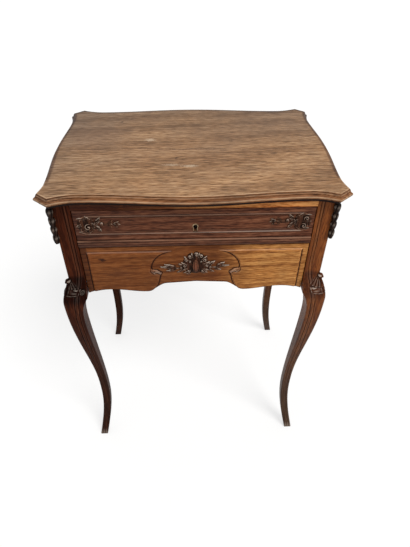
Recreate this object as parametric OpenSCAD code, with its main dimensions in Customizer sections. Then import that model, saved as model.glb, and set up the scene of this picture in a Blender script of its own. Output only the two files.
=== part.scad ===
// A lady's work table in carved walnut, in the French Louis XV style: a serpentine top on a case with a locked
// shallow drawer and a deep drawer below it, carried by four cabriole legs.
// Millimetres, +Z up, front towards -Y. The origin is on the floor, under the middle of the table.

/* [Overall] */
// Height from the floor to the top's surface
table_h = 730; // [690:5:770]
// Width over the top's corner ears
top_w = 528; // [512:2:560]
// Depth over the top's moulded edge, front to back
top_d = 392; // [380:2:420]
// How far the top's ears stand out past the posts, to each side
side_over = 21.5; // [18:0.5:30]
// How far the top stands out past the posts at the front
front_over = 30; // [24:0.5:40]
// How far the top stands out past the posts at the back
back_over = 20; // [14:0.5:30]

/* [Top] */
// Thickness of the top
top_t = 20; // [18:0.5:24]
// How far the front and back edges curve in beside the ears
front_wave = 12.5; // [8:0.5:18]
// How far the side edges curve in beside the ears
side_wave = 6.5; // [3:0.5:8]
// Width of an ear, from where the front edge is furthest in
ear_w = 71; // [60:1:80]
// Depth of an ear, from where the side edge is furthest in
ear_d = 60; // [52:1:68]
// Cut across an ear's corner, measured along the width
ear_cut_w = 26; // [20:1:30]
// Cut across an ear's corner, measured along the depth
ear_cut_d = 22; // [18:1:28]
// How far an ear stands out past the furthest-in line of the side
ear_out = 6.5; // [5:0.5:9]
// Width of the moulding round the top's edge
moulding_w = 6.5; // [5.5:0.5:10]
// Depth of the step between the flat field and the moulding
quirk_d = 1.6; // [1:0.1:2.4]
// Radius of the half-round bead at the edge
bead_r = 3.5; // [2.5:0.1:4]
// Depth of the bead's middle below the top's surface
bead_down = 10.5; // [9:0.5:12]

/* [Legs] */
// Side of a square post
post_s = 31.5; // [28:0.5:34]
// Height on the leg where the post ends and the knee starts to swell
post_end_z = 536; // [530:1:545]
// Height of the knee's widest place
knee_z = 485; // [475:1:492]
// Thickness of the knee, between its parallel faces
knee_s = 32.8; // [30:0.1:36]
// How far the knee swells out past the post's outer faces
knee_out = 17; // [12:0.1:20]
// Height of the ankle's innermost place
ankle_z = 172; // [150:1:200]
// How far the ankle's centre line lies inside the post's centre line
ankle_in = 1.7; // [0:0.1:5]
// Thickness of the leg at its ankle
ankle_s = 18.9; // [16:0.1:22]
// Height up to which the leg stays as thin as its ankle
thin_z = 201; // [150:1:240]
// How far the foot's centre line lies outside the post's centre line
foot_out = 20.7; // [16:0.1:26]
// Thickness of the foot at the floor
foot_s = 18.2; // [16:0.1:24]
// Radius on the leg's outer arris
arris_r = 3; // [1:0.5:4]
// Distance of the leg's groove from its inner edge
groove_in = 6; // [4:0.5:8]
// Depth of the leg's groove
groove_d = 1; // [0.4:0.1:1.4]

/* [Case] */
// Height of the rail above the upper drawer
rail_h = 18; // [14:1:20]
// Depth of that rail, front to back
rail_d = 24; // [20:1:28]
// How far the rail and panels lie back from the posts' faces
reveal = 0.5; // [0.2:0.1:1.5]
// Extra set-back of the side and back panels
panel_reveal = 3; // [1:0.5:5]
// Thickness of the side and back panels
panel_t = 18; // [16:0.5:20]
// Height of the upper drawer's front
upper_front_h = 76; // [70:1:80]
// Height of the lower drawer's front at its ends
lower_front_h = 111; // [104:1:116]
// Gap between the two drawer fronts
front_gap = 3; // [1.5:0.5:3]
// Thickness of the rail between the drawers
middle_rail_t = 8; // [6:0.5:9]
// Depth of the rail between the drawers, front to back
middle_rail_d = 40; // [30:1:50]
// Length of a tenon
tenon_l = 12; // [8:1:13]
// Thickness of a tenon
tenon_t = 8; // [6:0.5:9]
// Thickness of a runner
runner_t = 10; // [8:0.5:11]
// Width of a runner under the drawer's side
runner_w = 21; // [18:1:26]
// Height of a guide beside the drawer's side
guide_h = 25; // [16:1:30]
// Side of a glue block under the top
block_s = 12; // [8:1:14]
// Length of a glue block
block_l = 50; // [30:1:70]

/* [Shaped lower edges] */
// Rise of the lower front's edge from its end to the first crest
crest_rise = 10; // [6:0.2:12]
// Rise from the end to the hollow beside the centre
dip_rise = 2.4; // [1:0.2:5]
// Rise from the end to the middle of the edge
middle_rise = 25; // [18:0.5:28]
// Half width of the raised middle of the edge
middle_half = 56; // [45:1:66]
// Distance of the hollow from the centre
dip_x = 94; // [84:1:106]
// Distance of the crest from the end
crest_in = 46; // [38:1:54]

/* [Drawers] */
// Thickness of a drawer's front
front_t = 20; // [18:0.5:22]
// Gap between a drawer's front and the post
side_gap = 1.5; // [1:0.1:2]
// Gap above the upper drawer's front
rail_gap = 1; // [0.6:0.1:1.5]
// Thickness of a drawer's sides
side_t = 10; // [8:0.5:11]
// Thickness of a drawer's back
back_t = 9; // [7:0.5:11]
// Thickness of a drawer's bottom
bottom_t = 5; // [4:0.5:6]
// Height of the bottom above the lower edge of the drawer's sides
bottom_up = 5; // [4.8:0.1:6]
// Depth of the groove that holds the bottom
bottom_groove = 5; // [3:0.5:6]
// Height of the upper drawer's sides
upper_side_h = 68; // [60:1:70]
// Height of the lower drawer's sides
lower_side_h = 78; // [70:1:79]
// Free space behind the drawers' boxes when they are shut
back_room = 18.5; // [12:0.5:50]
// Number of dovetails at a corner
tail_count = 3; // [2:1:4]
// Length of a dovetail into the front
tail_l = 12; // [8:0.5:13]

/* [Fronts] */
// Height of the upper front's lower edge moulding
base_h = 14; // [10:0.5:16]
// How far that moulding stands out
base_out = 2.5; // [1:0.25:4]
// Height of the sunk panel in the upper front
sunk_h = 36; // [30:1:38]
// Height of that panel above the upper front's lower edge
sunk_up = 28; // [25:1:30]
// Depth of that panel
sunk_d = 2.5; // [1.5:0.25:3.5]
// Margin at the ends of that panel
sunk_margin = 6; // [4:0.5:10]
// Thickness of the raised panels on the lower front
raised_t = 2; // [1:0.25:3]
// Width of the plain border round the raised panels
raised_border = 11.5; // [9:0.5:14]
// Half width of the cartouche at its widest
cartouche_half = 84; // [80:1:92]
// Half width of the cartouche's flat head
cartouche_head = 42; // [36:1:48]
// Height of the cartouche's widest place below the raised panels' upper edge
cartouche_drop = 44; // [38:1:46]
// Thickness of the carved relief
relief_t = 4; // [3:0.25:5]

/* [Lock] */
// Height of the keyhole above the sunk panel's lower edge
key_up = 11; // [11:0.5:14]
// Width of the lock's case
lock_w = 48; // [40:1:54]
// Thickness of the lock's case inside the front
lock_t = 8; // [7:0.25:9]
// Thickness of the lock's plates
plate_t = 1.5; // [1:0.1:2]
// Width of the bolt's head
bolt_w = 16; // [12:0.5:20]
// Thickness of the bolt
bolt_t = 4; // [3:0.25:4.5]
// Travel of the bolt
bolt_travel = 6; // [4:0.5:7]

/* [Clearances] */
// Clearance round tenons, dovetails, tongues and lock plates
fit_gap = 0.1; // [0.05:0.05:0.2]
// Clearance under a drawer's sides
run_gap = 0.3; // [0.2:0.05:0.5]
// Clearance beside a drawer's sides
guide_gap = 0.5; // [0.3:0.1:0.9]
// Clearance round the bolt
bolt_gap = 0.15; // [0.1:0.05:0.25]

/* [Hidden] */

walnut = "#6b4326";
walnut_dark = "#4a2a1a";
walnut_top = "#7d6047";
walnut_warm = "#84502a";
oak = "#a8835a";
steel = "#7c7d80";
brass = "#a98a4a";

$fn = 48;
// Cuts run past a face by this much
past = 1;

// Planes of the case
case_w = top_w - 2 * side_over;
case_d = top_d - front_over - back_over;
under_top = table_h - top_t;
face_y = -case_d / 2;
// The case is drawn round its own middle, which lies behind the top's middle by this much
case_y = (front_over - back_over) / 2;
module placed() { translate([0, case_y, 0]) children(); }
opening_half = case_w / 2 - post_s;
inner_y = case_d / 2 - post_s;
panel_x = case_w / 2 - reveal - panel_reveal - panel_t;
panel_y = case_d / 2 - reveal - panel_reveal - panel_t;
rail_z = under_top - rail_h;

// Heights of the drawers
upper_z = rail_z - rail_gap - upper_front_h;
lower_top = upper_z - front_gap;
lower_z = lower_top - lower_front_h;
middle_rail_top = upper_z - run_gap;
middle_rail_z = middle_rail_top - middle_rail_t;
front_half = opening_half - side_gap;
front_back = face_y + front_t;
box_end = panel_y - back_room;
box_l = box_end - front_back;
// The lower box hangs clear of the middle rail by this much, and stays above the shaped edge
box_clear = 1.5;
edge_clear = 0.7;
lower_box_z = min(middle_rail_z - box_clear - lower_side_h, lower_z + middle_rise + edge_clear);
ground_back = 1.5;
lower_ground_y = face_y + ground_back;

// Screws
screw_r = 2;
screw_head_r = 4;
screw_head_t = 2.4;
screw_play = 0.05;
screw_bite = 9;

function ease(t) = (1 - cos(180 * t)) / 2;
function mix(a, b, t) = a + (b - a) * t;
function flip_x(points) = [for (p = points) [-p[0], p[1]]];
function flip_y(points) = [for (p = points) [p[0], -p[1]]];
function reversed(points) = [for (i = [len(points) - 1:-1:0]) points[i]];
function tail(points) = [for (i = [1:len(points) - 1]) points[i]];
function unit(v) = v / norm(v);

// A closed skin through rings of points, each counterclockwise from above, from the lowest up
module loft(rings) {
    n = len(rings[0]);
    m = len(rings);
    skin = [for (j = [0:m - 2]) for (i = [0:n - 1]) let (k = (i + 1) % n, a = j * n, b = a + n)
        each [[a + i, b + k, a + k], [a + i, b + i, b + k]]];
    lower_cap = [for (i = [0:n - 1]) i];
    upper_cap = [for (i = [n - 1:-1:0]) (m - 1) * n + i];
    polyhedron([for (ring = rings) each ring], concat([lower_cap, upper_cap], skin), convexity = 10);
}

// The top's outline in its first quarter, from the middle of the side to the middle of the back, drawn in by inset
side_steps = 9;
ear_steps = 5;
ear_power = 1.8;
dip_front_x = top_w / 2 - ear_w;
dip_side_y = top_d / 2 - ear_d;
ear_tip = [top_w / 2, top_d / 2 - ear_cut_d];
ear_end = [top_w / 2 - ear_cut_w, top_d / 2];
ear_run_x = ear_end[0] - dip_front_x;
ear_run_y = ear_tip[1] - dip_side_y;
cut_normal = unit([-ear_cut_d, -ear_cut_w]);
front_normal = unit([ear_power * front_wave / ear_run_x, -1]);
side_normal = unit([-1, ear_power * ear_out / ear_run_y]);
function mitre(a, b) = (a + b) / (1 + a * b);
tip_shift = mitre(side_normal, cut_normal);
end_shift = mitre(front_normal, cut_normal);
function side_wave_x(y) = top_w / 2 - ear_out + side_wave * (1 - ease(y / dip_side_y));
function side_ear_x(s) = top_w / 2 - ear_out + ear_out * pow(s, ear_power);
function back_wave_y(x) = top_d / 2 - front_wave * ease(x / dip_front_x);
function back_ear_y(s) = top_d / 2 - front_wave + front_wave * pow(s, ear_power);
function quarter(inset) = concat(
    [for (i = [0:side_steps - 1]) let (y = dip_side_y * i / side_steps) [side_wave_x(y) - inset, y]],
    [for (i = [0:ear_steps]) let (s = i / ear_steps)
        [side_ear_x(s), dip_side_y + ear_run_y * s] + inset * mix([-1, 0], tip_shift, s * s)],
    [for (i = [ear_steps:-1:0]) let (s = i / ear_steps)
        [dip_front_x + ear_run_x * s, back_ear_y(s)] + inset * mix([0, -1], end_shift, s * s)],
    [for (i = [side_steps - 1:-1:0]) let (x = dip_front_x * i / side_steps) [x, back_wave_y(x) - inset]]);
function top_outline(inset) = let (q = quarter(inset), r = reversed(q)) concat(
    q, tail(flip_x(r)), tail([for (p = q) -p]), [for (i = [1:len(r) - 2]) [r[i][0], -r[i][1]]]);

// The moulding's section as pairs of inset and height below the surface, from the underside up
bead_top = bead_down - bead_r;
function moulding() = concat(
    [[bead_r + 3, top_t], [bead_r + 0.5, bead_down + bead_r + 0.5]],
    [for (a = [80:-32:-80]) [bead_r - bead_r * cos(a), bead_down + bead_r * sin(a)]],
    [for (t = [0.2:0.2:1]) [mix(bead_r * 0.83, moulding_w - 0.7, t), mix(bead_top, quirk_d, ease(t))]],
    [[moulding_w, 0]]);

module table_top() {
    color(walnut_top)
    difference() {
        loft([for (m = moulding()) [for (p = top_outline(m[0])) [p[0], p[1], table_h - m[1]]]]);
        placed() for (p = top_screw_places()) translate([p[0], p[1], under_top - past])
            cylinder(r = screw_r + screw_play, h = screw_bite + 1 + past);
    }
}

// A leg's section at height z, measured outwards from the post's inner faces
function leg_centre(z) = z > ankle_z
    ? mix(post_s / 2 - ankle_in, post_s + knee_out - knee_s / 2, ease((z - ankle_z) / (knee_z - ankle_z)))
    : post_s / 2 - ankle_in + (foot_out + ankle_in) * (1 - cos(90 * pow(1 - z / ankle_z, 1.1)));
function leg_side(z) = z > thin_z
    ? mix(ankle_s, knee_s, ease((z - thin_z) / (knee_z - thin_z)))
    : ankle_s + (foot_s - ankle_s) * pow(1 - z / thin_z, 2);
function leg_outer(z) = z >= post_end_z ? post_s
    : z > knee_z ? post_s + knee_out * sin(90 * (post_end_z - z) / (post_end_z - knee_z))
    : leg_centre(z) + leg_side(z) / 2;
bracket_h = 34;
function leg_inner(z) = z >= lower_z ? 0
    : z > lower_z - bracket_h ? leg_inner(lower_z - bracket_h) * sin(90 * (lower_z - z) / bracket_h)
    : z > knee_z ? post_s + knee_out - knee_s
    : leg_centre(z) - leg_side(z) / 2;
function corner(at, r, from) = [for (a = [from:45:from + 90]) at + r * [cos(a), sin(a)]];
function leg_section(a, b) = let (r = arris_r, e = 1, w = groove_d, g = a + groove_in * (b - a) / post_s) concat(
    corner([a + e, a + e], e, 180),
    corner([b - e, a + e], e, 270),
    [[b, g - w], [b - w, g], [b, g + w]],
    corner([b - r, b - r], r, 0),
    [[g + w, b], [g, b - w], [g - w, b]],
    corner([a + e, b - e], e, 90));
leg_rings_z = concat([for (i = [0:27]) let (t = i / 28) lower_z * t], [lower_z, lower_z + 10, lower_z + 20],
    [post_end_z, under_top]);

// A leg in the quarter where x and y are positive: the post, with its mortises, and the cabriole below it
module leg() {
    difference() {
        translate([opening_half, inner_y, 0])
            loft([for (z = leg_rings_z) [for (p = leg_section(leg_inner(z), leg_outer(z))) [p[0], p[1], z]]]);
        side_panel_tenon(fit_gap);
        children();
    }
}

// Tenons, each drawn larger by gap to make its mortise; all in the quarter where x and y are positive
tenon_foot = 10;
tenon_head = 22;
side_tenon_x = panel_x + panel_t / 2 - tenon_t / 2;
back_tenon_y = panel_y + panel_t / 2 - tenon_t / 2;
module side_panel_tenon(gap) {
    translate([side_tenon_x - gap, inner_y - past, post_end_z + tenon_foot - gap])
        cube([tenon_t + 2 * gap, tenon_l + past + gap, under_top - tenon_head - post_end_z - tenon_foot + 2 * gap]);
}
module back_panel_tenon(gap) {
    translate([opening_half - past, back_tenon_y - gap, post_end_z + tenon_foot - gap])
        cube([tenon_l + past + gap, tenon_t + 2 * gap, under_top - tenon_head - post_end_z - tenon_foot + 2 * gap]);
}
// The front rails' tenons lie on the front posts, where y is negative
rail_y = face_y + reveal;
middle_rail_y = front_back + run_gap;
rail_tenon_h = rail_h - 6;
middle_tenon_t = middle_rail_t - 3;
middle_tenon_d = face_y + post_s - middle_rail_y - 3;
module top_rail_tenon(gap) {
    translate([opening_half - past, rail_y + tenon_t - gap, rail_z + 3 - gap])
        cube([tenon_l + past + gap, tenon_t + 2 * gap, rail_tenon_h + 2 * gap]);
}
module middle_rail_tenon(gap) {
    translate([opening_half - past, middle_rail_y + 1.5 - gap, middle_rail_z + 1.5 - gap])
        cube([tenon_l + past + gap, middle_tenon_d + 2 * gap, middle_tenon_t + 2 * gap]);
}
module front_leg() {
    mirror([0, 1, 0]) leg() mirror([0, 1, 0]) {
        top_rail_tenon(fit_gap);
        middle_rail_tenon(fit_gap);
    }
}
module leg_front_right() { color(walnut) placed() front_leg(); }
module leg_front_left() { color(walnut_dark) placed() mirror([1, 0, 0]) front_leg(); }
module leg_rear_right() { color(walnut) placed() leg() back_panel_tenon(fit_gap); }
module leg_rear_left() { color(walnut_dark) placed() mirror([1, 0, 0]) leg() back_panel_tenon(fit_gap); }

// A shaped lower edge over a half width, as pairs of distance from the centre and rise above the end's height
edge_steps = 8;
middle_step = 3.5;
function shaped_edge(half) = let (f = half / opening_half, crest = (opening_half - crest_in) * f, dip = dip_x * f,
        flat = middle_half * f) concat(
    [[0, middle_rise]],
    [for (i = [0:edge_steps]) let (t = i / edge_steps)
        [mix(flat, dip, t), mix(middle_rise - middle_step, dip_rise, ease(t))]],
    [for (i = [1:edge_steps]) let (t = i / edge_steps) [mix(dip, crest, t), mix(dip_rise, crest_rise, ease(t))]],
    [for (i = [1:edge_steps]) let (t = i / edge_steps)
        [mix(crest, half, t), crest_rise * (1 - pow(t, 2.2))]]);
module shaped_board(half, low, high) {
    edge = [for (p = shaped_edge(half)) [p[0], low + p[1]]];
    polygon(concat([[half, high]], reversed(edge), tail(flip_x(edge)), [[-half, high]]));
}

module side_panel() {
    difference() {
        union() {
            translate([panel_x, 0, 0]) rotate([90, 0, 90]) linear_extrude(panel_t)
                shaped_board(inner_y, lower_z, under_top);
            for (s = [0, 1]) mirror([0, s, 0]) side_panel_tenon(0);
        }
        runner_screw_holes();
    }
}
module side_panel_right() { color(walnut) placed() side_panel(); }
module side_panel_left() { color(walnut_dark) placed() mirror([1, 0, 0]) side_panel(); }

module back_panel() {
    color(walnut_dark) placed() {
        translate([0, panel_y + panel_t, 0]) rotate([90, 0, 0]) linear_extrude(panel_t)
            shaped_board(opening_half, lower_z, under_top);
        for (s = [0, 1]) mirror([s, 0, 0]) back_panel_tenon(0);
    }
}

module top_front_rail() {
    color(walnut_warm) placed()
    difference() {
        union() {
            translate([-opening_half, rail_y, rail_z]) cube([2 * opening_half, rail_d, rail_h]);
            for (s = [0, 1]) mirror([s, 0, 0]) top_rail_tenon(0);
        }
        translate([-bolt_w / 2 - 1, bolt_y - 0.7, rail_z - past])
            cube([bolt_w + 2, bolt_t + 1.4, past + bolt_travel + 1]);
        for (s = [-1, 1]) translate([s * front_screw_x, front_screw_y, rail_z - past])
            top_screw_hole(rail_h + 2 * past);
    }
}

module middle_rail() {
    color(oak) placed() {
        translate([-opening_half, middle_rail_y, middle_rail_z])
            cube([2 * opening_half, middle_rail_d, middle_rail_t]);
        for (s = [0, 1]) mirror([s, 0, 0]) middle_rail_tenon(0);
    }
}

// The kickers keep the upper drawer level as it comes out, and carry the screws into the top
kicker_gap = 3;
kicker_z = upper_z + upper_side_h + kicker_gap;
kicker_w = 20;
kicker_l = 2 * inner_y - 1;
kicker_hole_y = 80;
module kicker() {
    difference() {
        translate([panel_x - kicker_w, -kicker_l / 2, kicker_z]) cube([kicker_w, kicker_l, under_top - kicker_z]);
        for (s = [-1, 1]) translate([panel_x - kicker_w / 2, s * kicker_hole_y, kicker_z - past])
            top_screw_hole(under_top - kicker_z + 2 * past);
    }
}
module kicker_right() { color(oak) placed() kicker(); }
module kicker_left() { color(oak) placed() mirror([1, 0, 0]) kicker(); }

// Screws up into the top: two through each kicker and two through the front rail
front_screw_x = 110;
front_screw_y = rail_y + rail_d / 2;
head_sink = 4;
function top_screw_places() = concat(
    [for (sx = [-1, 1]) for (sy = [-1, 1]) [sx * (panel_x - kicker_w / 2), sy * kicker_hole_y, kicker_z]],
    [for (sx = [-1, 1]) [sx * front_screw_x, front_screw_y, rail_z]]);
module top_screw_hole(h) {
    cylinder(r = screw_r + screw_play, h = h);
    cylinder(r = screw_head_r + 0.3, h = past + head_sink);
}
module slotted_screw(l) {
    difference() {
        cylinder(r = screw_head_r, h = screw_head_t);
        translate([-screw_head_r - past, -0.4, -past]) cube([2 * (screw_head_r + past), 0.8, past + 0.9]);
    }
    translate([0, 0, screw_head_t]) cylinder(r = screw_r, h = l);
}
module top_screws() {
    color(steel) placed() for (p = top_screw_places()) translate([p[0], p[1], p[2] + head_sink - screw_head_t])
        slotted_screw(under_top + screw_bite - p[2] - head_sink);
}

// Runners carry the drawers' sides: each fills the corner between the posts and reaches under the drawer
module runner(z, y0) {
    difference() {
        union() {
            translate([opening_half - runner_w, y0, z]) cube([runner_w, panel_y - y0, runner_t]);
            translate([opening_half, -inner_y + fit_gap, z])
                cube([panel_x - opening_half, 2 * (inner_y - fit_gap), runner_t]);
        }
        runner_screw_holes();
    }
}
upper_runner_z = upper_z - run_gap - runner_t;
lower_runner_z = lower_box_z - run_gap - runner_t;
lower_runner_y = front_back + run_gap;
module upper_runner() { runner(upper_runner_z, middle_rail_y + middle_rail_d); }
module lower_runner() { runner(lower_runner_z, lower_runner_y); }
module upper_runner_right() { color(oak) placed() upper_runner(); }
module upper_runner_left() { color(oak) placed() mirror([1, 0, 0]) upper_runner(); }
module lower_runner_right() { color(oak) placed() lower_runner(); }
module lower_runner_left() { color(oak) placed() mirror([1, 0, 0]) lower_runner(); }

runner_screw_y = 70;
panel_bite = 12;
function runner_screw_places() = [for (z = [upper_runner_z, lower_runner_z]) for (s = [-1, 1])
    [s * runner_screw_y, z + runner_t / 2]];
module runner_screw_holes() {
    for (p = runner_screw_places()) translate([opening_half - runner_w - past, p[0], p[1]]) rotate([0, 90, 0]) {
        cylinder(r = screw_r + screw_play, h = past + runner_w + panel_x - opening_half + panel_bite + 0.5);
        cylinder(r = screw_head_r + 0.3, h = past + head_sink);
    }
}
module runner_screws() {
    color(steel) placed() for (side = [0, 1]) mirror([side, 0, 0]) for (p = runner_screw_places())
        translate([opening_half - runner_w + head_sink - screw_head_t, p[0], p[1]]) rotate([0, 90, 0])
            slotted_screw(runner_w - head_sink + panel_x - opening_half + panel_bite);
}

module guide(z) {
    inside = front_half + guide_gap;
    translate([inside, -inner_y + fit_gap, z]) cube([panel_x - inside, 2 * (inner_y - fit_gap), guide_h]);
}
module upper_guide() { guide(upper_runner_z + runner_t); }
module lower_guide() { guide(lower_runner_z + runner_t); }
module upper_guide_right() { color(oak) placed() upper_guide(); }
module upper_guide_left() { color(oak) placed() mirror([1, 0, 0]) upper_guide(); }
module lower_guide_right() { color(oak) placed() lower_guide(); }
module lower_guide_left() { color(oak) placed() mirror([1, 0, 0]) lower_guide(); }

// Three-cornered blocks glued between the top and the front rail or the back panel
block_x = 55;
module glue_blocks() {
    color(oak) placed() for (s = [-1, 1]) {
        translate([s * block_x - block_l / 2, rail_y + rail_d, under_top]) rotate([90, 0, 90])
            linear_extrude(block_l) polygon([[0, 0], [0, -block_s], [block_s, 0]]);
        translate([s * block_x - block_l / 2, panel_y, under_top]) rotate([90, 0, 90])
            linear_extrude(block_l) polygon([[0, 0], [-block_s, 0], [0, -block_s]]);
    }
}

// Two small blocks on the middle rail stop the upper drawer with its front flush
stop_w = 25;
stop_l = 10;
stop_x = 120;
module upper_drawer_stops() {
    color(oak) placed() for (s = [-1, 1]) translate([s * stop_x - stop_w / 2, middle_rail_y, middle_rail_top])
        cube([stop_w, stop_l, bottom_up - edge_clear]);
}

// Carved husks that hang down the front posts' outer arris, each a pointed swelling over the next one
husk_count = 4;
husk_step = 18;
husk_l = 21;
husk_r = 6.9;
husk_shrink = 0.03;
husk_top = 10.5;
// Radius between the husks, and the axis's distance outside the post's faces
neck_r = 3.6;
husk_out = 2.5;
module husk(l, r) {
    rotate_extrude() polygon(concat([[0, 0]],
        [for (i = [0:10]) let (t = i / 10) [neck_r + (r - neck_r) * sin(180 * pow(t, 0.7)), -l * t]], [[0, -l]]));
}
module husk_drop() {
    difference() {
        translate([case_w / 2 + husk_out, face_y - husk_out, 0]) {
            for (i = [0:husk_count - 1]) translate([0, 0, under_top - husk_top - husk_step * i])
                husk(husk_l, husk_r * (1 - husk_shrink * i));
            translate([0, 0, under_top - husk_top]) cylinder(r = neck_r, h = husk_top - 1);
        }
        translate([case_w / 2 - post_s, -case_d / 2, lower_z]) cube([post_s, post_s, under_top - lower_z]);
    }
}
module husk_drop_right() { color(walnut_dark) placed() husk_drop(); }
module husk_drop_left() { color(walnut_dark) placed() mirror([1, 0, 0]) husk_drop(); }

// Dovetails on the front end of a drawer's side, seen from the side: they point along -Y
tail_slope = 1.6;
module tails(z, h, gap) {
    pitch = h / tail_count;
    for (i = [0:tail_count - 1]) let (c = z + pitch * (i + 0.5), w = pitch * 0.28)
        polygon([[front_back + past, c - w - gap], [front_back, c - w - gap],
            [front_back - tail_l - gap, c - w - tail_slope - gap],
            [front_back - tail_l - gap, c + w + tail_slope + gap],
            [front_back, c + w + gap], [front_back + past, c + w + gap]]);
}
module tail_row(z, h, gap) {
    translate([front_half - side_t - gap, 0, 0]) rotate([90, 0, 90])
        linear_extrude(side_t + gap + (gap > 0 ? past : 0)) tails(z, h, gap);
}

module drawer_side(z, h) {
    difference() {
        union() {
            translate([front_half - side_t, front_back, z]) cube([side_t, box_l, h]);
            tail_row(z, h, 0);
        }
        bottom_slot(z);
    }
}
// The groove for a bottom, in whatever part of the drawer holds it
module bottom_slot(z) {
    w = 2 * (front_half - side_t + bottom_groove + fit_gap);
    translate([-w / 2, front_back - bottom_groove - fit_gap, z + bottom_up - fit_gap])
        cube([w, box_l + bottom_groove + fit_gap + past, bottom_t + 2 * fit_gap]);
}
module drawer_bottom(z) {
    w = 2 * (front_half - side_t + bottom_groove);
    translate([-w / 2, front_back - bottom_groove, z + bottom_up]) cube([w, box_l + bottom_groove, bottom_t]);
}
module drawer_back(z, h) {
    foot = bottom_up + bottom_t;
    translate([-front_half + side_t, box_end - back_t, z + foot])
        cube([2 * (front_half - side_t), back_t, h - foot - 4]);
}

module upper_drawer_side_right() { color(oak) placed() drawer_side(upper_z, upper_side_h); }
module upper_drawer_side_left() { color(oak) placed() mirror([1, 0, 0]) drawer_side(upper_z, upper_side_h); }
module upper_drawer_back() { color(oak) placed() drawer_back(upper_z, upper_side_h); }
module upper_drawer_bottom() { color(oak) placed() drawer_bottom(upper_z); }
module lower_drawer_side_right() { color(oak) placed() drawer_side(lower_box_z, lower_side_h); }
module lower_drawer_side_left() { color(oak) placed() mirror([1, 0, 0]) drawer_side(lower_box_z, lower_side_h); }
module lower_drawer_back() { color(oak) placed() drawer_back(lower_box_z, lower_side_h); }
module lower_drawer_bottom() { color(oak) placed() drawer_bottom(lower_box_z); }

// The upper drawer's front: a sunk panel, a moulding along its lower edge, a keyhole and the lock's seat
sunk_y = face_y + sunk_d;
sunk_z = upper_z + sunk_up;
sunk_half = front_half - sunk_margin;
base_r = 3;
module upper_drawer_front() {
    color(walnut_dark) placed()
    difference() {
        union() {
            translate([-front_half, face_y, upper_z]) cube([2 * front_half, front_t, upper_front_h]);
            translate([-front_half, 0, 0]) rotate([90, 0, 90]) linear_extrude(2 * front_half)
                polygon(concat([[face_y + past, upper_z], [face_y - base_out + 1, upper_z],
                    [face_y - base_out, upper_z + 3]],
                    [for (a = [0:22.5:90]) [face_y - base_out * cos(a), upper_z + base_h - base_r + base_r * sin(a)]],
                    [[face_y + past, upper_z + base_h]]));
        }
        translate([-sunk_half, face_y - past, sunk_z]) cube([2 * sunk_half, sunk_d + past, sunk_h]);
        for (s = [0, 1]) mirror([s, 0, 0]) tail_row(upper_z, upper_side_h, fit_gap);
        bottom_slot(upper_z);
        keyhole(face_y - past, front_t + 2 * past);
        lock_seat();
    }
}

// The lock, let into the back of the upper drawer's front; its selvedge lies in the front's top edge
key_z = sunk_z + key_up;
key_r = 4;
key_slot_w = 5.6;
key_slot_l = 9.2;
module keyhole(y, l) {
    translate([0, y, key_z]) rotate([-90, 0, 0]) cylinder(r = key_r, h = l);
    translate([-key_slot_w / 2, y, key_z - key_slot_l]) cube([key_slot_w, l, key_slot_l]);
}
escutcheon_r = 5.2;
escutcheon_foot = 4.2;
escutcheon_l = 7.6;
module escutcheon_plate() {
    circle(r = escutcheon_r);
    translate([-escutcheon_foot, -escutcheon_l]) square([2 * escutcheon_foot, escutcheon_l]);
    translate([0, -escutcheon_l]) circle(r = escutcheon_foot);
}
escutcheon_t = 0.8;
module keyhole_escutcheon() {
    color(brass) placed()
    difference() {
        translate([0, sunk_y, key_z + 1]) rotate([90, 0, 0]) linear_extrude(escutcheon_t) escutcheon_plate();
        keyhole(sunk_y - escutcheon_t - past, escutcheon_t + 2 * past);
    }
}

front_top = upper_z + upper_front_h;
selvedge_t = 2;
selvedge_over = 3;
lock_top = front_top - selvedge_t;
lock_low = key_z - 13;
lock_front = front_back - lock_t;
flange = 8;
module lock_seat() {
    translate([-lock_w / 2 - fit_gap, lock_front - fit_gap, lock_low - fit_gap])
        cube([lock_w + 2 * fit_gap, lock_t + fit_gap + past, lock_top - lock_low + 2 * fit_gap]);
    translate([-lock_w / 2 - selvedge_over - fit_gap, lock_front - selvedge_over - fit_gap, lock_top - fit_gap])
        cube([lock_w + 2 * (selvedge_over + fit_gap), lock_t + selvedge_over + fit_gap + past,
            selvedge_t + fit_gap + past]);
    lock_screw_places() cylinder(r = lock_screw_r + screw_play, h = lock_screw_l + 0.5);
}
module lock_case() {
    wall = plate_t;
    color(steel) placed()
    difference() {
        union() {
            translate([-lock_w / 2, lock_front, lock_low]) cube([lock_w, lock_t, lock_top - lock_low]);
            translate([-lock_w / 2 - flange, front_back, lock_low])
                cube([lock_w + 2 * flange, plate_t, lock_top - lock_low]);
        }
        translate([-lock_w / 2 + wall, lock_front + wall, lock_low + wall])
            cube([lock_w - 2 * wall, lock_t - wall, lock_top - lock_low]);
        keyhole(lock_front - past, wall + past + 0.1);
        lock_screw_places() cylinder(r = lock_screw_r + screw_play, h = 4 * plate_t, center = true);
    }
}
bolt_y = lock_front + plate_t + 0.5;
module lock_selvedge() {
    color(brass) placed()
    difference() {
        translate([-lock_w / 2 - selvedge_over, lock_front - selvedge_over, lock_top])
            cube([lock_w + 2 * selvedge_over, lock_t + selvedge_over, selvedge_t]);
        translate([-bolt_w / 2 - bolt_gap, bolt_y - bolt_gap, lock_top - past])
            cube([bolt_w + 2 * bolt_gap, bolt_t + 2 * bolt_gap, selvedge_t + 2 * past]);
    }
}
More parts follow.
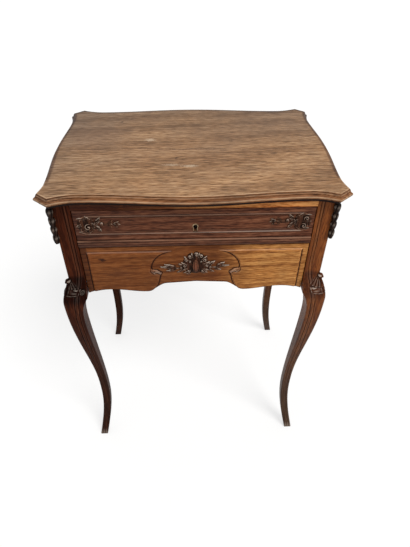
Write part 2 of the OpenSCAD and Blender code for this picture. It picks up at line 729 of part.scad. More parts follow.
// The bolt drawn back: its head ends just below the selvedge's face, and its foot is notched for the key
talon_w = 28;
talon_h = 12;
talon_top = lock_top - bolt_travel - 3;
module lock_bolt() {
    color(brass) placed()
    difference() {
        union() {
            translate([-bolt_w / 2, bolt_y, talon_top - 2]) cube([bolt_w, bolt_t, front_top - 0.4 - talon_top + 2]);
            translate([-talon_w / 2, bolt_y, talon_top - talon_h]) cube([talon_w, bolt_t, talon_h]);
        }
        translate([0, bolt_y - past, talon_top - talon_h]) rotate([-90, 0, 0])
            cylinder(r = 4, h = bolt_t + 2 * past);
    }
}
spring_t = 0.4;
spring_bow = 0.9;
module lock_bolt_spring() {
    back = bolt_y + bolt_t;
    steps = 6;
    inside = [for (i = [-steps:steps]) let (t = i / steps) [talon_w / 2 * t * 0.9, back + spring_bow * t * t]];
    color(steel) placed() translate([0, 0, talon_top - 6]) linear_extrude(4)
        polygon(concat(inside, reversed([for (p = inside) p + [0, spring_t]])));
}
module lock_drill_pin() {
    color(steel) placed() translate([0, lock_front + plate_t + 0.3, key_z]) rotate([-90, 0, 0])
        cylinder(r = 1.1, h = lock_t - plate_t - 0.3);
}
lock_screw_r = 1.2;
lock_screw_l = 7;
module lock_screw_places() {
    for (sx = [-1, 1]) for (z = [lock_low + 6, lock_top - 8])
        translate([sx * (lock_w / 2 + flange / 2), front_back + plate_t, z]) rotate([90, 0, 0]) children();
}
module lock_screws() {
    color(steel) placed() lock_screw_places() {
        cylinder(r = lock_screw_r, h = lock_screw_l);
        translate([0, 0, -1]) cylinder(r = 2.6, h = 1);
    }
}

// The lower drawer's front: a board with a shaped lower edge, and a raised panel each side of the cartouche
raised_top = lower_top - raised_border;
raised_end = front_half - raised_border;
cartouche_z = raised_top - cartouche_drop;
// The cartouche's side: an arch from its head, a small curl inwards, and a hollow line down to the lower edge
curl_r = 5;
curl_flare = 8;
curl_low = 6;
function cartouche_curve() = concat(
    [for (a = [90:-15:0]) [cartouche_head + (cartouche_half - cartouche_head) * cos(a),
        cartouche_z + cartouche_drop * sin(a)]],
    [for (a = [-30:-30:-150]) [cartouche_half - curl_r + curl_r * cos(a), cartouche_z + curl_r * sin(a)]],
    [for (t = [0.15:0.17:0.84]) [cartouche_half - curl_r * (2 + sin(180 * t)) + curl_flare * t,
        mix(cartouche_z - curl_r, lower_z + curl_low, t)]]);
module raised_panel() {
    foot = cartouche_half - 2 * curl_r + curl_flare;
    edge = [for (p = shaped_edge(opening_half)) if (p[0] > foot && p[0] < raised_end)
        [p[0], lower_z + p[1]]];
    end_rise = crest_rise * (1 - pow((raised_end - opening_half + crest_in) / crest_in, 2.2));
    polygon(concat([[raised_end, raised_top]], cartouche_curve(), edge, [[raised_end, lower_z + end_rise]]));
}
module lower_drawer_front() {
    color(walnut_warm) placed()
    difference() {
        union() {
            translate([0, front_back, 0]) rotate([90, 0, 0]) linear_extrude(front_back - lower_ground_y)
                intersection() {
                    shaped_board(opening_half, lower_z, lower_top);
                    translate([-front_half, lower_z - past]) square([2 * front_half, lower_front_h + past]);
                }
            for (s = [0, 1]) mirror([s, 0, 0]) translate([0, lower_ground_y, 0]) rotate([90, 0, 0])
                linear_extrude(raised_t) raised_panel();
        }
        for (s = [0, 1]) mirror([s, 0, 0]) tail_row(lower_box_z, lower_side_h, fit_gap);
        bottom_slot(lower_box_z);
    }
}

// Carved relief: pointed leaves and round buds, standing out from the ground behind them
module leaf(l, w) {
    r = (l * l / 4 + w * w / 4) / w;
    translate([l / 2, 0]) intersection() {
        translate([0, r - w / 2]) circle(r = r);
        translate([0, w / 2 - r]) circle(r = r);
    }
}
sprig_l = 17;
sprig_w = 7;
sprig_bud = 5;
module sprig() {
    for (a = [-42, 0, 42]) rotate(a) leaf(sprig_l, sprig_w);
    translate([1 - sprig_bud, 0]) circle(r = sprig_bud);
}
module on_front(x, y, z) { translate([x, y, z]) rotate([90, 0, 0]) children(); }
spray_x = sunk_half - 20;
spray_z = sunk_z + sunk_h / 2;
stem_at = 22;
stem_l = 31;
stem_w = 6;
stem_leaves = [34, 44];
stem_leaf_l = 11;
stem_leaf_w = 5;
stem_leaf_t = relief_t * 0.75;
module upper_spray() {
    on_front(spray_x, sunk_y, spray_z) {
        linear_extrude(relief_t) {
            sprig();
            rotate(180) translate([sprig_bud + 1, 0]) sprig();
            rotate(180) translate([stem_at, 0]) leaf(stem_l, stem_w);
        }
        linear_extrude(stem_leaf_t) for (x = stem_leaves) for (a = [-55, 55])
            translate([-x, 0]) rotate(a) leaf(stem_leaf_l, stem_leaf_w);
    }
}
module upper_spray_right() { color(walnut_dark) placed() upper_spray(); }
module upper_spray_left() { color(walnut_dark) placed() mirror([1, 0, 0]) upper_spray(); }

flower_up = 16;
flower_z = cartouche_z + flower_up;
petal_count = 8;
petal_l = 19;
petal_w = 10;
flower_bud = 6;
flower_bud_t = relief_t * 1.5;
branch_at = [14, -3];
branch_l = 44;
branch_w = 7;
branch_leaves = [6, 20];
branch_leaf_l = 17;
branch_leaf_w = 6;
module cartouche_carving() {
    color(walnut_dark) placed() on_front(0, lower_ground_y, flower_z) {
        linear_extrude(relief_t) {
            for (i = [0:petal_count - 1]) rotate(360 / petal_count * i) leaf(petal_l, petal_w);
            for (s = [0, 180]) rotate(s) translate(branch_at) rotate(s == 0 ? -4 : 4) {
                leaf(branch_l, branch_w);
                for (x = branch_leaves) for (a = [-38, 38])
                    translate([x, 0]) rotate(a) leaf(branch_leaf_l, branch_leaf_w);
            }
        }
        linear_extrude(flower_bud_t) circle(r = flower_bud);
    }
}

table_top();
leg_front_left();
leg_front_right();
leg_rear_left();
leg_rear_right();
side_panel_left();
side_panel_right();
back_panel();
top_front_rail();
middle_rail();
kicker_left();
kicker_right();
upper_runner_left();
upper_runner_right();
lower_runner_left();
lower_runner_right();
upper_guide_left();
upper_guide_right();
lower_guide_left();
lower_guide_right();
glue_blocks();
top_screws();
runner_screws();
upper_drawer_stops();
husk_drop_left();
husk_drop_right();
upper_drawer_front();
upper_drawer_side_left();
upper_drawer_side_right();
upper_drawer_back();
upper_drawer_bottom();
upper_spray_left();
upper_spray_right();
keyhole_escutcheon();
lock_case();
lock_selvedge();
lock_bolt();
lock_bolt_spring();
lock_drill_pin();
lock_screws();
lower_drawer_front();
lower_drawer_side_left();
lower_drawer_side_right();
lower_drawer_back();
lower_drawer_bottom();
cartouche_carving();
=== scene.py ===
"""The looks of a lady's carved walnut work table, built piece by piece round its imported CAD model.

The sizes of meshes are typed in millimetres, and turned into metres where a mesh is made. Places in materials
and in node groups are in metres.
"""
import math

import bmesh
import bpy
import numpy as np
from mathutils import Matrix


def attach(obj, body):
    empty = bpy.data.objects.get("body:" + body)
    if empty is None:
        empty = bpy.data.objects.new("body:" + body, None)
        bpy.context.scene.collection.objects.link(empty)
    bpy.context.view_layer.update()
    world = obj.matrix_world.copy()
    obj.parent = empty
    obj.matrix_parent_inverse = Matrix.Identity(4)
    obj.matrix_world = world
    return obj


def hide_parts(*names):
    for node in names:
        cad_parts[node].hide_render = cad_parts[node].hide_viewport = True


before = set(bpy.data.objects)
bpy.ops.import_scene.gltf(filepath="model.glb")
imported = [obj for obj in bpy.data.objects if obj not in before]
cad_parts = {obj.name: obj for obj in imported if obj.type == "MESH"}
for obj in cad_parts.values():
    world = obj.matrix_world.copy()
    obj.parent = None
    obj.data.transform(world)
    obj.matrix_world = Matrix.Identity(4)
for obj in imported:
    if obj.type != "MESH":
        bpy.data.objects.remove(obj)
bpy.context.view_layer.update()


# Table top
# A glued-up walnut board with a serpentine edge and four canted ears. Its rim is moulded with a quirk, a
# slope and a half-round bead. The face has faded and worn dull, while the moulding kept its darker polish.
def ease(t):
    """A smooth step from 0 to 1."""
    return (1 - np.cos(np.pi * np.clip(t, 0, 1))) / 2


def blur(field, reach, wrap=False):
    """The mean of a grid over a square of 2 * reach + 1 cells. With wrap, the columns close on themselves."""
    for axis in (0, 1):
        mode = "wrap" if wrap and axis == 1 else "edge"
        pad = [(0, 0), (0, 0)]
        pad[axis] = (reach + 1, reach)
        total = np.cumsum(np.pad(field, pad, mode=mode), axis=axis)
        size = 2 * reach + 1
        ahead = np.take(total, range(size, total.shape[axis]), axis=axis)
        behind = np.take(total, range(total.shape[axis] - size), axis=axis)
        field = (ahead - behind) / size
    return field


def band(value, middle, width):
    """One where value is at middle, fading smoothly to nought about two widths away."""
    return np.exp(-((value - middle) / width) ** 2)


def dome(t, power=0.5):
    """One where t is nought, rounding down to nought where t is one or more."""
    return np.clip(1 - t, 0, None) ** power


def smooth_mesh(name, points, faces, material, marks):
    """A mesh from points in millimetres. marks are attributes that give each point a number from 0 to 1."""
    mesh = bpy.data.meshes.new(name)
    mesh.from_pydata((np.asarray(points) * 0.001).tolist(), [], faces)
    mesh.polygons.foreach_set("use_smooth", [True] * len(mesh.polygons))
    for mark, values in marks.items():
        mesh.attributes.new(mark, "FLOAT", "POINT").data.foreach_set("value", np.clip(values, 0, 1).ravel())
    mesh.materials.append(material)
    mesh.update()
    return mesh


def new_object(name, data):
    """A new object, linked to the scene."""
    made = bpy.data.objects.new(name, data)
    bpy.context.collection.objects.link(made)
    return made


def add_piece(name, points, faces, body, material, node, marks=None, sharp=38):
    """A piece that rides on a body and stands for a CAD node. Edges bent over sharp degrees stay sharp."""
    mesh = smooth_mesh(name, points, faces, material, marks or {})
    mesh.set_sharp_from_angle(angle=math.radians(sharp))
    piece = new_object(name, mesh)
    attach(piece, body)
    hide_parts(node)


def loft(rings):
    """Points and faces of a closed skin through rings, counterclockwise from above, from the lowest up."""
    m, n = rings.shape[:2]
    i, j = np.meshgrid(np.arange(n), np.arange(m - 1))
    a, b = j * n + i, j * n + (i + 1) % n
    faces = np.stack([a, b, b + n, a + n], -1).reshape(-1, 4).tolist()
    return rings.reshape(-1, 3), faces + [list(range(n))[::-1], list(range((m - 1) * n, m * n))]


def rgb(*parts):
    """A colour from its usual 0 to 255 parts."""
    return tuple(c / 255 / 12.92 if c < 10.3 else ((c / 255 + 0.055) / 1.055) ** 2.4 for c in parts) + (1.0,)


def node_adder(tree, family="ShaderNode"):
    """A function that adds a node to a tree. Its inputs are numbers or other nodes' outputs.

    It gives the new node's output out, or all of them where out is None.
    """
    def add(kind, inputs=None, out=0, **settings):
        made = tree.nodes.new(family + kind)
        for key, value in settings.items():
            setattr(made, key, value)
        for key, value in (inputs or {}).items():
            if isinstance(value, bpy.types.NodeSocket):
                tree.links.new(value, made.inputs[key])
            else:
                made.inputs[key].default_value = value
        return made.outputs if out is None else made.outputs[out]

    return add


def start_material(name):
    """A new material without nodes, and a function that adds nodes to it."""
    material = bpy.data.materials.new(name)
    material.use_nodes = True
    material.node_tree.nodes.clear()
    return material, node_adder(material.node_tree)


def wood(name, grain, dark, mid, light, rough, seed, figure=0.3, ring=14, fineness=1.0, shine=0.1,
         wear_and_highlight_colour=None, polished=None, slides=(), flaws=(), flaws_on="XY"):
    """Old wood with its grain along one axis: growth rings, streaks, fibres, pores and patches, with marks
    for grime, wear, painted shade and painted highlights.

    slides are (axis, from, to, tint): the colour is tinted at the first place and clear of it at the second.
    flaws are (x, y or z, half length, half width, strength, colour), on the plane of the two axes flaws_on.
    """
    material, add = start_material(name)
    # The first tints are for grime with painted shade, painted shade in recesses, worn ridges with painted
    # highlights, and painted glints; the rest vary the tone at random.
    grime_and_shade_tint, painted_shade_tint = (0.3, 0.24, 0.24, 1), (0.15, 0.1, 0.09, 1)
    wear_and_highlight_tint, painted_glint_colour = (1.6, 1.6, 1.7, 1), (0.5, 0.42, 0.35, 1)
    pale_patch, dark_patch = (1.08, 1.07, 1.06, 1), (0.88, 0.85, 0.83, 1)
    pale_cloud, dark_cloud = (1.05, 1.03, 1, 1), (0.92, 0.93, 0.95, 1)

    def math_node(operation, a, b, c=0.0):
        return add("Math", {0: a, 1: b, 2: c}, operation=operation)

    def times(a, b):
        return math_node("MULTIPLY", a, b)

    def swing(value, amount, base):
        """base, raised or lowered as value leaves a half."""
        return math_node("MULTIPLY_ADD", math_node("SUBTRACT", value, 0.5), amount, base)

    def vector_node(operation, a, b):
        return add("VectorMath", {0: a, 1: b}, operation=operation)

    def strayed(place, colour, reach):
        """A place moved by a noise's colour, as far as reach on each axis."""
        stray = vector_node("SUBTRACT", colour, (0.5, 0.5, 0.5))
        return vector_node("ADD", place, vector_node("MULTIPLY", stray, reach))

    def scaled(vector, scale, **more):
        return add("Mapping", {"Vector": vector, "Scale": scale, **more})

    def noise(vector, detail=2.0, out="Fac", **more):
        return add("TexNoise", {"Vector": vector, "Scale": 1.0, "Detail": detail, **more}, out)

    def stretch(value, low, high):
        return add("MapRange", {"Value": value, "From Min": low, "From Max": high})

    def ramp(value, *stops):
        """The colours of stops at their places along value, the lowest first."""
        made = add("ValToRGB", {0: value})
        elements = made.node.color_ramp.elements
        for element, (place, tint) in zip(elements, (stops[0], stops[-1])):
            element.position, element.color = place, tint
        for place, tint in stops[1:-1]:
            elements.new(place).color = tint
        return made

    def mix(factor, a, b, blend="MIX"):
        return add("Mix", {0: factor, 6: a, 7: b}, 2, data_type="RGBA", blend_type=blend)

    def tinted(shade, tint):
        return mix(1.0, shade, tint, "MULTIPLY")

    def darker(share):
        return tuple(part * share for part in dark[:3]) + (1,)

    def on_plane(a, b):
        return (a, b, 0) if flaws_on == "XY" else (a, 0, b)

    where = add("TexCoord", out="Object")
    parts = add("SeparateXYZ", {0: where}, None)
    order = {"X": (0, 1, 2), "Y": (1, 0, 2), "Z": (2, 0, 1)}[grain]
    along = add("CombineXYZ", {i: parts[axis] for i, axis in enumerate(order)})
    drift = noise(scaled(along, (3.1, 11, 11), Location=(seed, 0, seed)), out="Color")
    along = strayed(along, drift, (0, 0.012, 0.012))

    heart = scaled(along, (0.15, 1, 1), Rotation=(0, 0.42, 0.28), Location=(seed, 0.05 + seed / 9, 0.14))
    rings = add("TexWave", {"Vector": heart, "Scale": 314 / ring, "Distortion": 3.0, "Detail": 3.0,
                            "Detail Scale": 1.4, "Detail Roughness": 0.6}, "Fac", wave_type="RINGS")
    streaks = (9, 270 * fineness, 270 * fineness)
    fibres = (60, 520 * fineness, 520 * fineness)
    streak = noise(scaled(along, streaks, Location=(seed, 1, 2)), 4.0, Roughness=0.66)
    fibre = noise(scaled(along, fibres, Location=(seed, 3, 4)), 3.0)
    pores = stretch(noise(scaled(along, (120, 1500, 1500))), 0.58, 0.7)
    patch = noise(scaled(along, (4.0, 8.0, 8.0), Location=(5, seed, 6)), 3.0)
    cloud = stretch(noise(scaled(where, (26, 26, 26), Location=(seed, 7, 8)), 5.0), 0.36, 0.64)

    tone = swing(fibre, 1.3, swing(streak, 1.25, swing(rings, figure, 0.5)))
    colour = ramp(tone, (0.22, dark), (0.5, mid), (0.78, light))
    for axis, start, end, tint in slides:
        place = swing(patch, 0.25 * (end - start), parts[axis])
        colour = mix(stretch(place, start, end), tinted(colour, tint), colour)
    colour = mix(0.85, colour, ramp(patch, (0.34, dark_patch), (0.62, pale_patch)), "MULTIPLY")
    colour = mix(cloud, tinted(colour, dark_cloud), tinted(colour, pale_cloud))
    colour = mix(times(stretch(fibre, 0.43, 0.33), 0.6), colour, darker(0.6))
    colour = mix(times(pores, 0.4), colour, darker(0.35))
    if flaws:
        loose = strayed(where, noise(scaled(where, (60, 160, 160)), 3.0, "Color"), (0.01, 0.005, 0))
        specks = noise(scaled(where, (480, 480, 480)))
    for across, up, long, wide, strength, tint in flaws:
        near = vector_node("SUBTRACT", loose, on_plane(across, up))
        near = vector_node("MULTIPLY", near, on_plane(1 / long, 1 / wide))
        near = add("VectorMath", {0: near}, "Value", operation="LENGTH")
        near = math_node("MULTIPLY_ADD", specks, 1.6, near)
        colour = mix(times(stretch(near, 1.7, 1.0), strength), colour, tint)
    # The polish mark is the moulding's real darker polish; the other marks paint shade and highlights along
    # with grime and wear.
    marks = ("hollow", "rub", "stain", "polish", "bright")
    hollow, rub, stain, polish, bright = (add("Attribute", out="Fac", attribute_name=m) for m in marks)
    if polished:
        colour = mix(polish, colour, tinted(colour, polished))
    # Darkening for grime and painted shade, painted shade in recesses, lightening of worn ridges and painted
    # highlights, then painted glints.
    colour = mix(times(stain, 0.9), colour, tinted(colour, grime_and_shade_tint))
    colour = mix(hollow, colour, tinted(colour, painted_shade_tint))
    worn_and_lit = times(times(rub, stretch(streak, 0.25, 0.55)), 0.8)
    colour = mix(worn_and_lit, colour, wear_and_highlight_colour or tinted(colour, wear_and_highlight_tint))
    colour = mix(times(bright, 0.85), colour, painted_glint_colour)

    gloss = swing(patch, 0.3, rough)
    for mark, amount in ((pores, 0.12), (hollow, 0.25), (polish, -0.1), (bright, -0.15)):
        gloss = math_node("MULTIPLY_ADD", mark, amount, gloss)
    height = math_node("MULTIPLY_ADD", fibre, 0.5, times(pores, -0.6))
    height = math_node("MULTIPLY_ADD", streak, 0.8, height)
    relief = add("Bump", {"Strength": 0.3, "Distance": 0.0006, "Height": height})
    surface = {"Base Color": colour, "Roughness": gloss, "Normal": relief, "Specular IOR Level": shine}
    add("OutputMaterial", {0: add("BsdfPrincipled", surface)}, None)
    return material


def top_outline(inset):
    """The top's edge drawn in by inset, counterclockwise from the middle of its right side."""
    side_x, side_bow, side_end, side_ear = 257.5, 6.5, 136, 38
    back_y, back_bow, back_end, back_ear = 183.5, 12.5, 193, 45
    y = np.linspace(0, side_end, 36)[:-1]
    side = np.stack([side_x + side_bow * (1 - ease(y / side_end)) - inset, y], -1)
    s = np.linspace(0, 1, 20)[:, None]
    cut, front, flank = (np.array(v) / np.hypot(*v) for v in ((-22, -26), (0.5, -1), (-1, 0.308)))

    def turned(first, normal):
        mitre = (normal + cut) / (1 + normal @ cut)
        return inset * (np.array(first) * (1 - s * s) + mitre * s * s)

    ear_side = np.hstack([side_x + side_bow * s ** 1.8, side_end + side_ear * s]) + turned((-1, 0), flank)
    ear_back = np.hstack([back_end + back_ear * s, back_y + back_bow * s ** 1.8]) + turned((0, -1), front)
    x = np.linspace(back_end, 0, 46)[1:]
    back = np.stack([x, back_y + back_bow - back_bow * ease(x / back_end) - inset], -1)
    quarter = np.vstack([side, ear_side, ear_back[::-1], back])
    mirrored = quarter[::-1] * (-1, 1)
    return np.vstack([quarter, mirrored[1:], -quarter[1:], -mirrored[1:-1]])


nick, worn, streaked, greyed = rgb(62, 42, 30), rgb(196, 172, 146), rgb(96, 70, 52), rgb(116, 91, 75)
walnut_top = wood(
    "walnut_top", "X", rgb(110, 79, 53), rgb(160, 121, 86), rgb(198, 160, 122), 0.5, 0.7, ring=21,
    figure=0.16, fineness=1.25, wear_and_highlight_colour=rgb(206, 172, 138), polished=(0.6, 0.44, 0.34, 1),
    slides=[(1, 0.2, -0.02, (0.62, 0.66, 0.74, 1)), (1, 0.02, -0.2, (0.86, 0.86, 0.86, 1)),
            (0, -0.26, -0.1, (0.82, 0.88, 0.98, 1))],
    flaws=[(-0.19, 0.04, 0.11, 0.08, 0.4, greyed), (-0.14, -0.12, 0.12, 0.04, 0.2, rgb(176, 140, 104)),
           (-0.15, -0.011, 0.1, 0.0035, 0.8, streaked), (0, -0.015, 0.11, 0.004, 0.8, streaked),
           (0.15, -0.019, 0.1, 0.003, 0.7, streaked), (-0.0834, 0.0277, 0.014, 0.009, 0.9, worn),
           (-0.0069, -0.0846, 0.02, 0.007, 0.8, worn), (-0.04, -0.0797, 0.022, 0.006, 0.6, worn),
           (-0.1471, 0.1204, 0.005, 0.006, 0.9, nick), (-0.128, 0.136, 0.005, 0.005, 0.7, nick),
           (0.0761, 0.019, 0.006, 0.004, 0.8, nick), (0.1522, -0.0365, 0.008, 0.004, 0.8, nick),
           (-0.0301, -0.0524, 0.004, 0.007, 0.9, nick)])
table_height = 730
under = [(7.5, 20), (6.5, 19.6), (6.2, 18.6), (4, 14)]
bead = [(3.5 - 3.32 * math.cos(a), 10.5 + 3.5 * math.sin(a)) for a in np.linspace(1.4, -1.4, 13)]
slope = [(2.9 + 2.9 * t, 7 - 5.4 * float(ease(t))) for t in np.linspace(0.12, 1, 9)]
quirk = [(6.1, 1.5), (6.4, 1), (6.5, 0.5), (6.8, 0.12), (7.4, 0)]
rim = under + bead + slope + quirk + [(8.4, 0), (10, 0), (13, 0)]
rings = np.array([[(x, y, table_height - drop) for x, y in top_outline(inset)] for inset, drop in rim])
inward, drop = (np.repeat(column[:, None], rings.shape[1], axis=1) for column in np.array(rim, float).T)
# On the front, the bead's upper crest, the arris at the field's edge and a line on the slope are lightened as
# painted highlights with some wear. Two lines on the slope and the bead's underside are darkened as painted
# shade, and so is the moulding on the sides and back.
front = ease((-rings[:, :, 1] - 128) / 16)
upper_arris = 0.9 * (drop < 0.6) * (inward < 8)
below_bead = ease((drop - 12.4) / 1.2)
add_piece("top_board", *loft(rings), "case", walnut_top, "table_top", {
    "polish": np.where(drop < 0.05, 0.0, 1.0),
    "rub": front * (0.9 * band(drop, 9.4, 0.9) + upper_arris + 0.35 * (abs(drop - 3.4) < 0.9)),
    "hollow": 0.75 * band(drop, 2.2, 0.7) + 0.5 * band(drop, 5.6, 0.7) + below_bead,
    "stain": np.maximum(0.9 * (1 - front) * (inward < 11), below_bead)})


# Legs
# Each post and its cabriole leg are cut from one walnut timber, square in section, with two grooves down its
# outer faces. The front knees are carved with a knob on the arris, flutes below it and a shell of lobes.
# Places are measured out from the posts' inner corners, and the leg stands furthest in at waist.
post_corner, front_y, rear_y, post_side = 211, -134.5, 144.5, 31.5
case_low, case_top, bracket_low = 501, 710, 430
post_end, knee_end, thinnest, waist = 536, 485, 201, 172
waist_place, thin_side = 14.05, 18.9


def leg_centre(z):
    """Place of the leg's middle at the height z."""
    upper = waist_place + 18.05 * ease((z - waist) / (knee_end - waist))
    lower = waist_place + 22.4 * (1 - np.cos(np.pi / 2 * np.clip(1 - z / waist, 0, 1) ** 1.1))
    return np.where(z > waist, upper, lower)


def leg_side(z):
    """Side of the leg's square section at the height z."""
    upper = thin_side + 13.9 * ease((z - thinnest) / (knee_end - thinnest))
    return np.where(z > thinnest, upper, thin_side - 0.7 * np.clip(1 - z / thinnest, 0, 1) ** 2)


def leg_outer(z):
    """Place of the outer faces: the post's, then the swelling of the knee, then the leg's."""
    swell = post_side + 17 * np.sin(np.pi / 2 * np.clip((post_end - z) / (post_end - knee_end), 0, 1))
    return np.where(z > knee_end, swell, leg_centre(z) + leg_side(z) / 2)


def leg_inner(z):
    """Place of the inner faces, which run out in a bracket under the case."""
    bracket = 15 * (1 - np.clip((z - bracket_low) / (case_low - bracket_low), 0, 1) ** 3.2)
    return np.where(z > bracket_low, bracket, leg_centre(z) - leg_side(z) / 2)


def knee_carving(v, z, face, shell_z, curled):
    """Height of the carving at v from the arris and z up. face is 1 or -1 on the two outer faces."""
    fan_z, curl_v = 541, 34.5
    knob = 7.6 * dome((v / 4.4) ** 2 + ((z - 536.5) / 4.2) ** 2)
    collar = 1.2 * dome((v / 8) ** 2 + ((z - 531) / 2.2) ** 2)
    angle, reach = np.arctan2(v + 1.5, fan_z - z), np.hypot(v, fan_z - z)
    top_edge = ease((1.0 - angle) / 0.2) * ease((reach - 4) / 3)
    sink = -1.7 * top_edge * ease((v - 0.5) / 3) * ease((32 - v) / 4) * ease((z - shell_z + 8) / 3)
    flutes = 1.9 * abs(np.cos(angle * 17 + face * 0.3)) ** 0.8 * (reach < 34)
    across = (z - (shell_z - 2.5 * np.sin(v / 10))) / 6.4
    lobes = abs(np.sin(across * 2.1 + 0.13 * v + 0.4 * face)) ** 0.8 * abs(np.cos(v / 5.5)) ** 0.5
    shell = 3.4 * dome(across ** 2, 0.4) * (0.55 + 0.45 * lobes) * ease((v - 4) / 4) * ease((31 - v) / 3)
    from_curl, turn = np.hypot(v - curl_v, z - shell_z), np.arctan2(z - shell_z, v - curl_v)
    curl = curled * 2.6 * ease((6 - from_curl) / 1.6) * (0.3 + 0.7 * np.cos(from_curl * 1.1 - turn / 2) ** 2)
    carved = np.maximum.reduce([flutes * top_edge * (z > shell_z + 5), shell, curl])
    return sink + carved + np.maximum(knob, collar)


def spread(value, like):
    """A value given the shape of an array."""
    return value + 0 * like


def leg(name, node, sx, sy, material, shell_z=None, painted_glint=0, knee_darkening=0, curled=False):
    """A leg in the corner given by the signs sx and sy. A carved knee has its shell at the height shell_z."""
    soft, foot_bevel = 1.0, 0.8
    knee_rows = np.linspace(484, 556, 112 if shell_z else 30)
    post_rows = np.linspace(566, case_top - 0.1, 14)
    up = np.concatenate([[0, 0.8, 3], np.linspace(8, 478, 84), knee_rows, post_rows])[:, None]
    a, b = leg_inner(up), leg_outer(up)
    a[0], b[0] = a[0] + foot_bevel, b[0] - foot_bevel
    round_r = 2.6 + 2.2 * ease((up - 300) / 150) * ease((530 - up) / 30)
    face = a + soft + (b - round_r - a - soft) * np.linspace(0, 1, 56)
    arc = np.linspace(0, np.pi / 2, 9)
    small = np.linspace(0, np.pi / 2, 4)[1:-1]
    back = b - soft + (a - b + 2 * soft) * np.linspace(0, 1, 12)
    in_sin, in_cos = a + soft - soft * np.sin(small), a + soft - soft * np.cos(small)
    out_sin, out_cos = b - soft + soft * np.sin(small), b - soft + soft * np.cos(small)
    xs = [spread(b, face), b - round_r + round_r * np.cos(arc), face[:, ::-1], in_sin,
          spread(a, back), in_cos, back[:, ::-1], out_sin]
    ys = [face, b - round_r + round_r * np.sin(arc), spread(b, face), out_cos,
          back, in_sin, spread(a, back), in_cos]

    def round_section(first, arris, second, elsewhere):
        """A value on one outer face, round the arris, on the other outer face, and elsewhere."""
        outer = [spread(first, face), spread(arris, round_r), spread(second, face)]
        return np.hstack(outer + [spread(elsewhere, part) for part in xs[3:]])

    x, y = np.hstack(xs), np.hstack(ys)
    nx = round_section(1, np.cos(arc), 0, 0)
    ny = round_section(0, np.sin(arc), 1, 0)
    away = round_section(b - face, abs(arc / (np.pi / 4) - 1) * round_r, (b - face)[:, ::-1], 99)
    side = round_section(1, np.sign(np.pi / 4 - arc), -1, 0)
    on_face = away < 60

    width = b - leg_inner(np.minimum(up, 467)) * ease((565 - up) / 98)
    low = ease((560 - up) / 90)
    first = 6.3 * (1 - low) + np.minimum(7.5, 0.3 * width) * low
    second = 11.5 * (1 - low) + np.minimum(15, 0.63 * width) * low
    inner = width - away
    cut = np.minimum(1.0, width / 26) * ease((up - 12) / 30) * ease((706 - up) / 3) * on_face
    between = np.clip((inner - first) / (second - first), 0, 1)
    h = cut * (0.5 * np.sin(np.pi * between) ** 0.7 - band(inner, first, 0.95) - band(inner, second, 0.95))
    if shell_z:
        rise = np.where(on_face, knee_carving(np.minimum(away, 60), up, side, shell_z, curled), 0)
        h = np.where(abs(rise) > 0.15, rise, h)
    x, y = x + nx * h, y + ny * h
    rings = np.stack([sx * (post_corner + x), sy * y + (front_y if sy < 0 else rear_y), spread(up, x)], -1)

    ridge = h - blur(h, 3, wrap=True)
    arris = 0.3 * band(away, 0, 2.5) * (0.5 + 0.3 * np.sin(up / 17))
    limb = ease((480 - up) / 40) * on_face
    knee = ease((up - 478) / 20) * ease((552 - up) / 12) * on_face if shell_z else 0 * h
    rims = band(away, 0, 6) + 0.7 * band(b - a - away, 0, 4)
    # Painted glints: a spot on the knee's shell, one on the knob, and a faint line along the carving's
    # ridges.
    shell_glint = 1.8 * band(away, 21, 6) * band(up, (shell_z or 0) - 1, 4)
    knob_glint = 0.6 * (np.hypot(away - 2.5, up - 538) < 1.6)
    shine = painted_glint * (shell_glint + knob_glint + 0.22 * ease((away - 3) / 3)) * np.clip((ridge - 0.1) * 1.6, 0, 1)
    toe = 0.35 * ease((22 - up) / 18) * on_face * abs(np.sin(away * 0.5 + up / 9))
    # Recesses are darkened as painted shade, the left knee more, and ridges are lightened as wear and painted
    # highlight, with wear along the arris. The posts' tops are darkened as painted shadow under the table
    # top, and the carved knees and the edges of the lower legs' faces are darker. The knees get painted
    # glints, and the toes pale wear.
    marks = {
        "hollow": np.clip(-ridge * (1.2 + 0.6 * knee + 1.3 * limb), 0, 1) + 1.25 * max(0, knee_darkening - 0.8) * knee,
        "rub": (np.clip(ridge * 1.1, 0, 1) + arris) * (1 - knee),
        "stain": np.maximum(0.85 * ease((up - 701) / 4), np.maximum(knee_darkening * knee, 0.7 * limb * rims)),
        "bright": knee * shine + toe}
    if sx * sy < 0:
        rings = rings[:, ::-1]
        marks = {mark: values[:, ::-1] for mark, values in marks.items()}
    add_piece(name, *loft(rings), "case", material, node, marks)


# The left legs' wood is a darker copy of the right legs', as painted shade on the side away from the lamp.
# Both darken towards the floor as painted shade.
walnut_shaded_left = wood(
    "walnut_shaded_left", "Z", rgb(51, 21, 10), rgb(66, 28, 13), rgb(81, 38, 20), 0.4, 2.3, shine=0.03,
    wear_and_highlight_colour=rgb(126, 84, 62), slides=[(2, 0.2, 0.52, (0.56, 0.78, 1.0, 1))])
walnut_lit_right = wood(
    "walnut_lit_right", "Z", rgb(90, 44, 17), rgb(113, 60, 25), rgb(134, 77, 36), 0.4, 4.1, figure=0.2,
    wear_and_highlight_colour=rgb(166, 122, 84), slides=[(2, 0.1, 0.52, (0.32, 0.54, 1.1, 1))])
leg("front_leg_left", "leg_front_left", -1, -1, walnut_shaded_left, shell_z=515, painted_glint=0.9, knee_darkening=1.0, curled=True)
leg("front_leg_right", "leg_front_right", 1, -1, walnut_lit_right, shell_z=508, painted_glint=1.7, knee_darkening=0.8)
leg("rear_leg_left", "leg_rear_left", -1, 1, walnut_shaded_left)
leg("rear_leg_right", "leg_rear_right", 1, 1, walnut_lit_right)


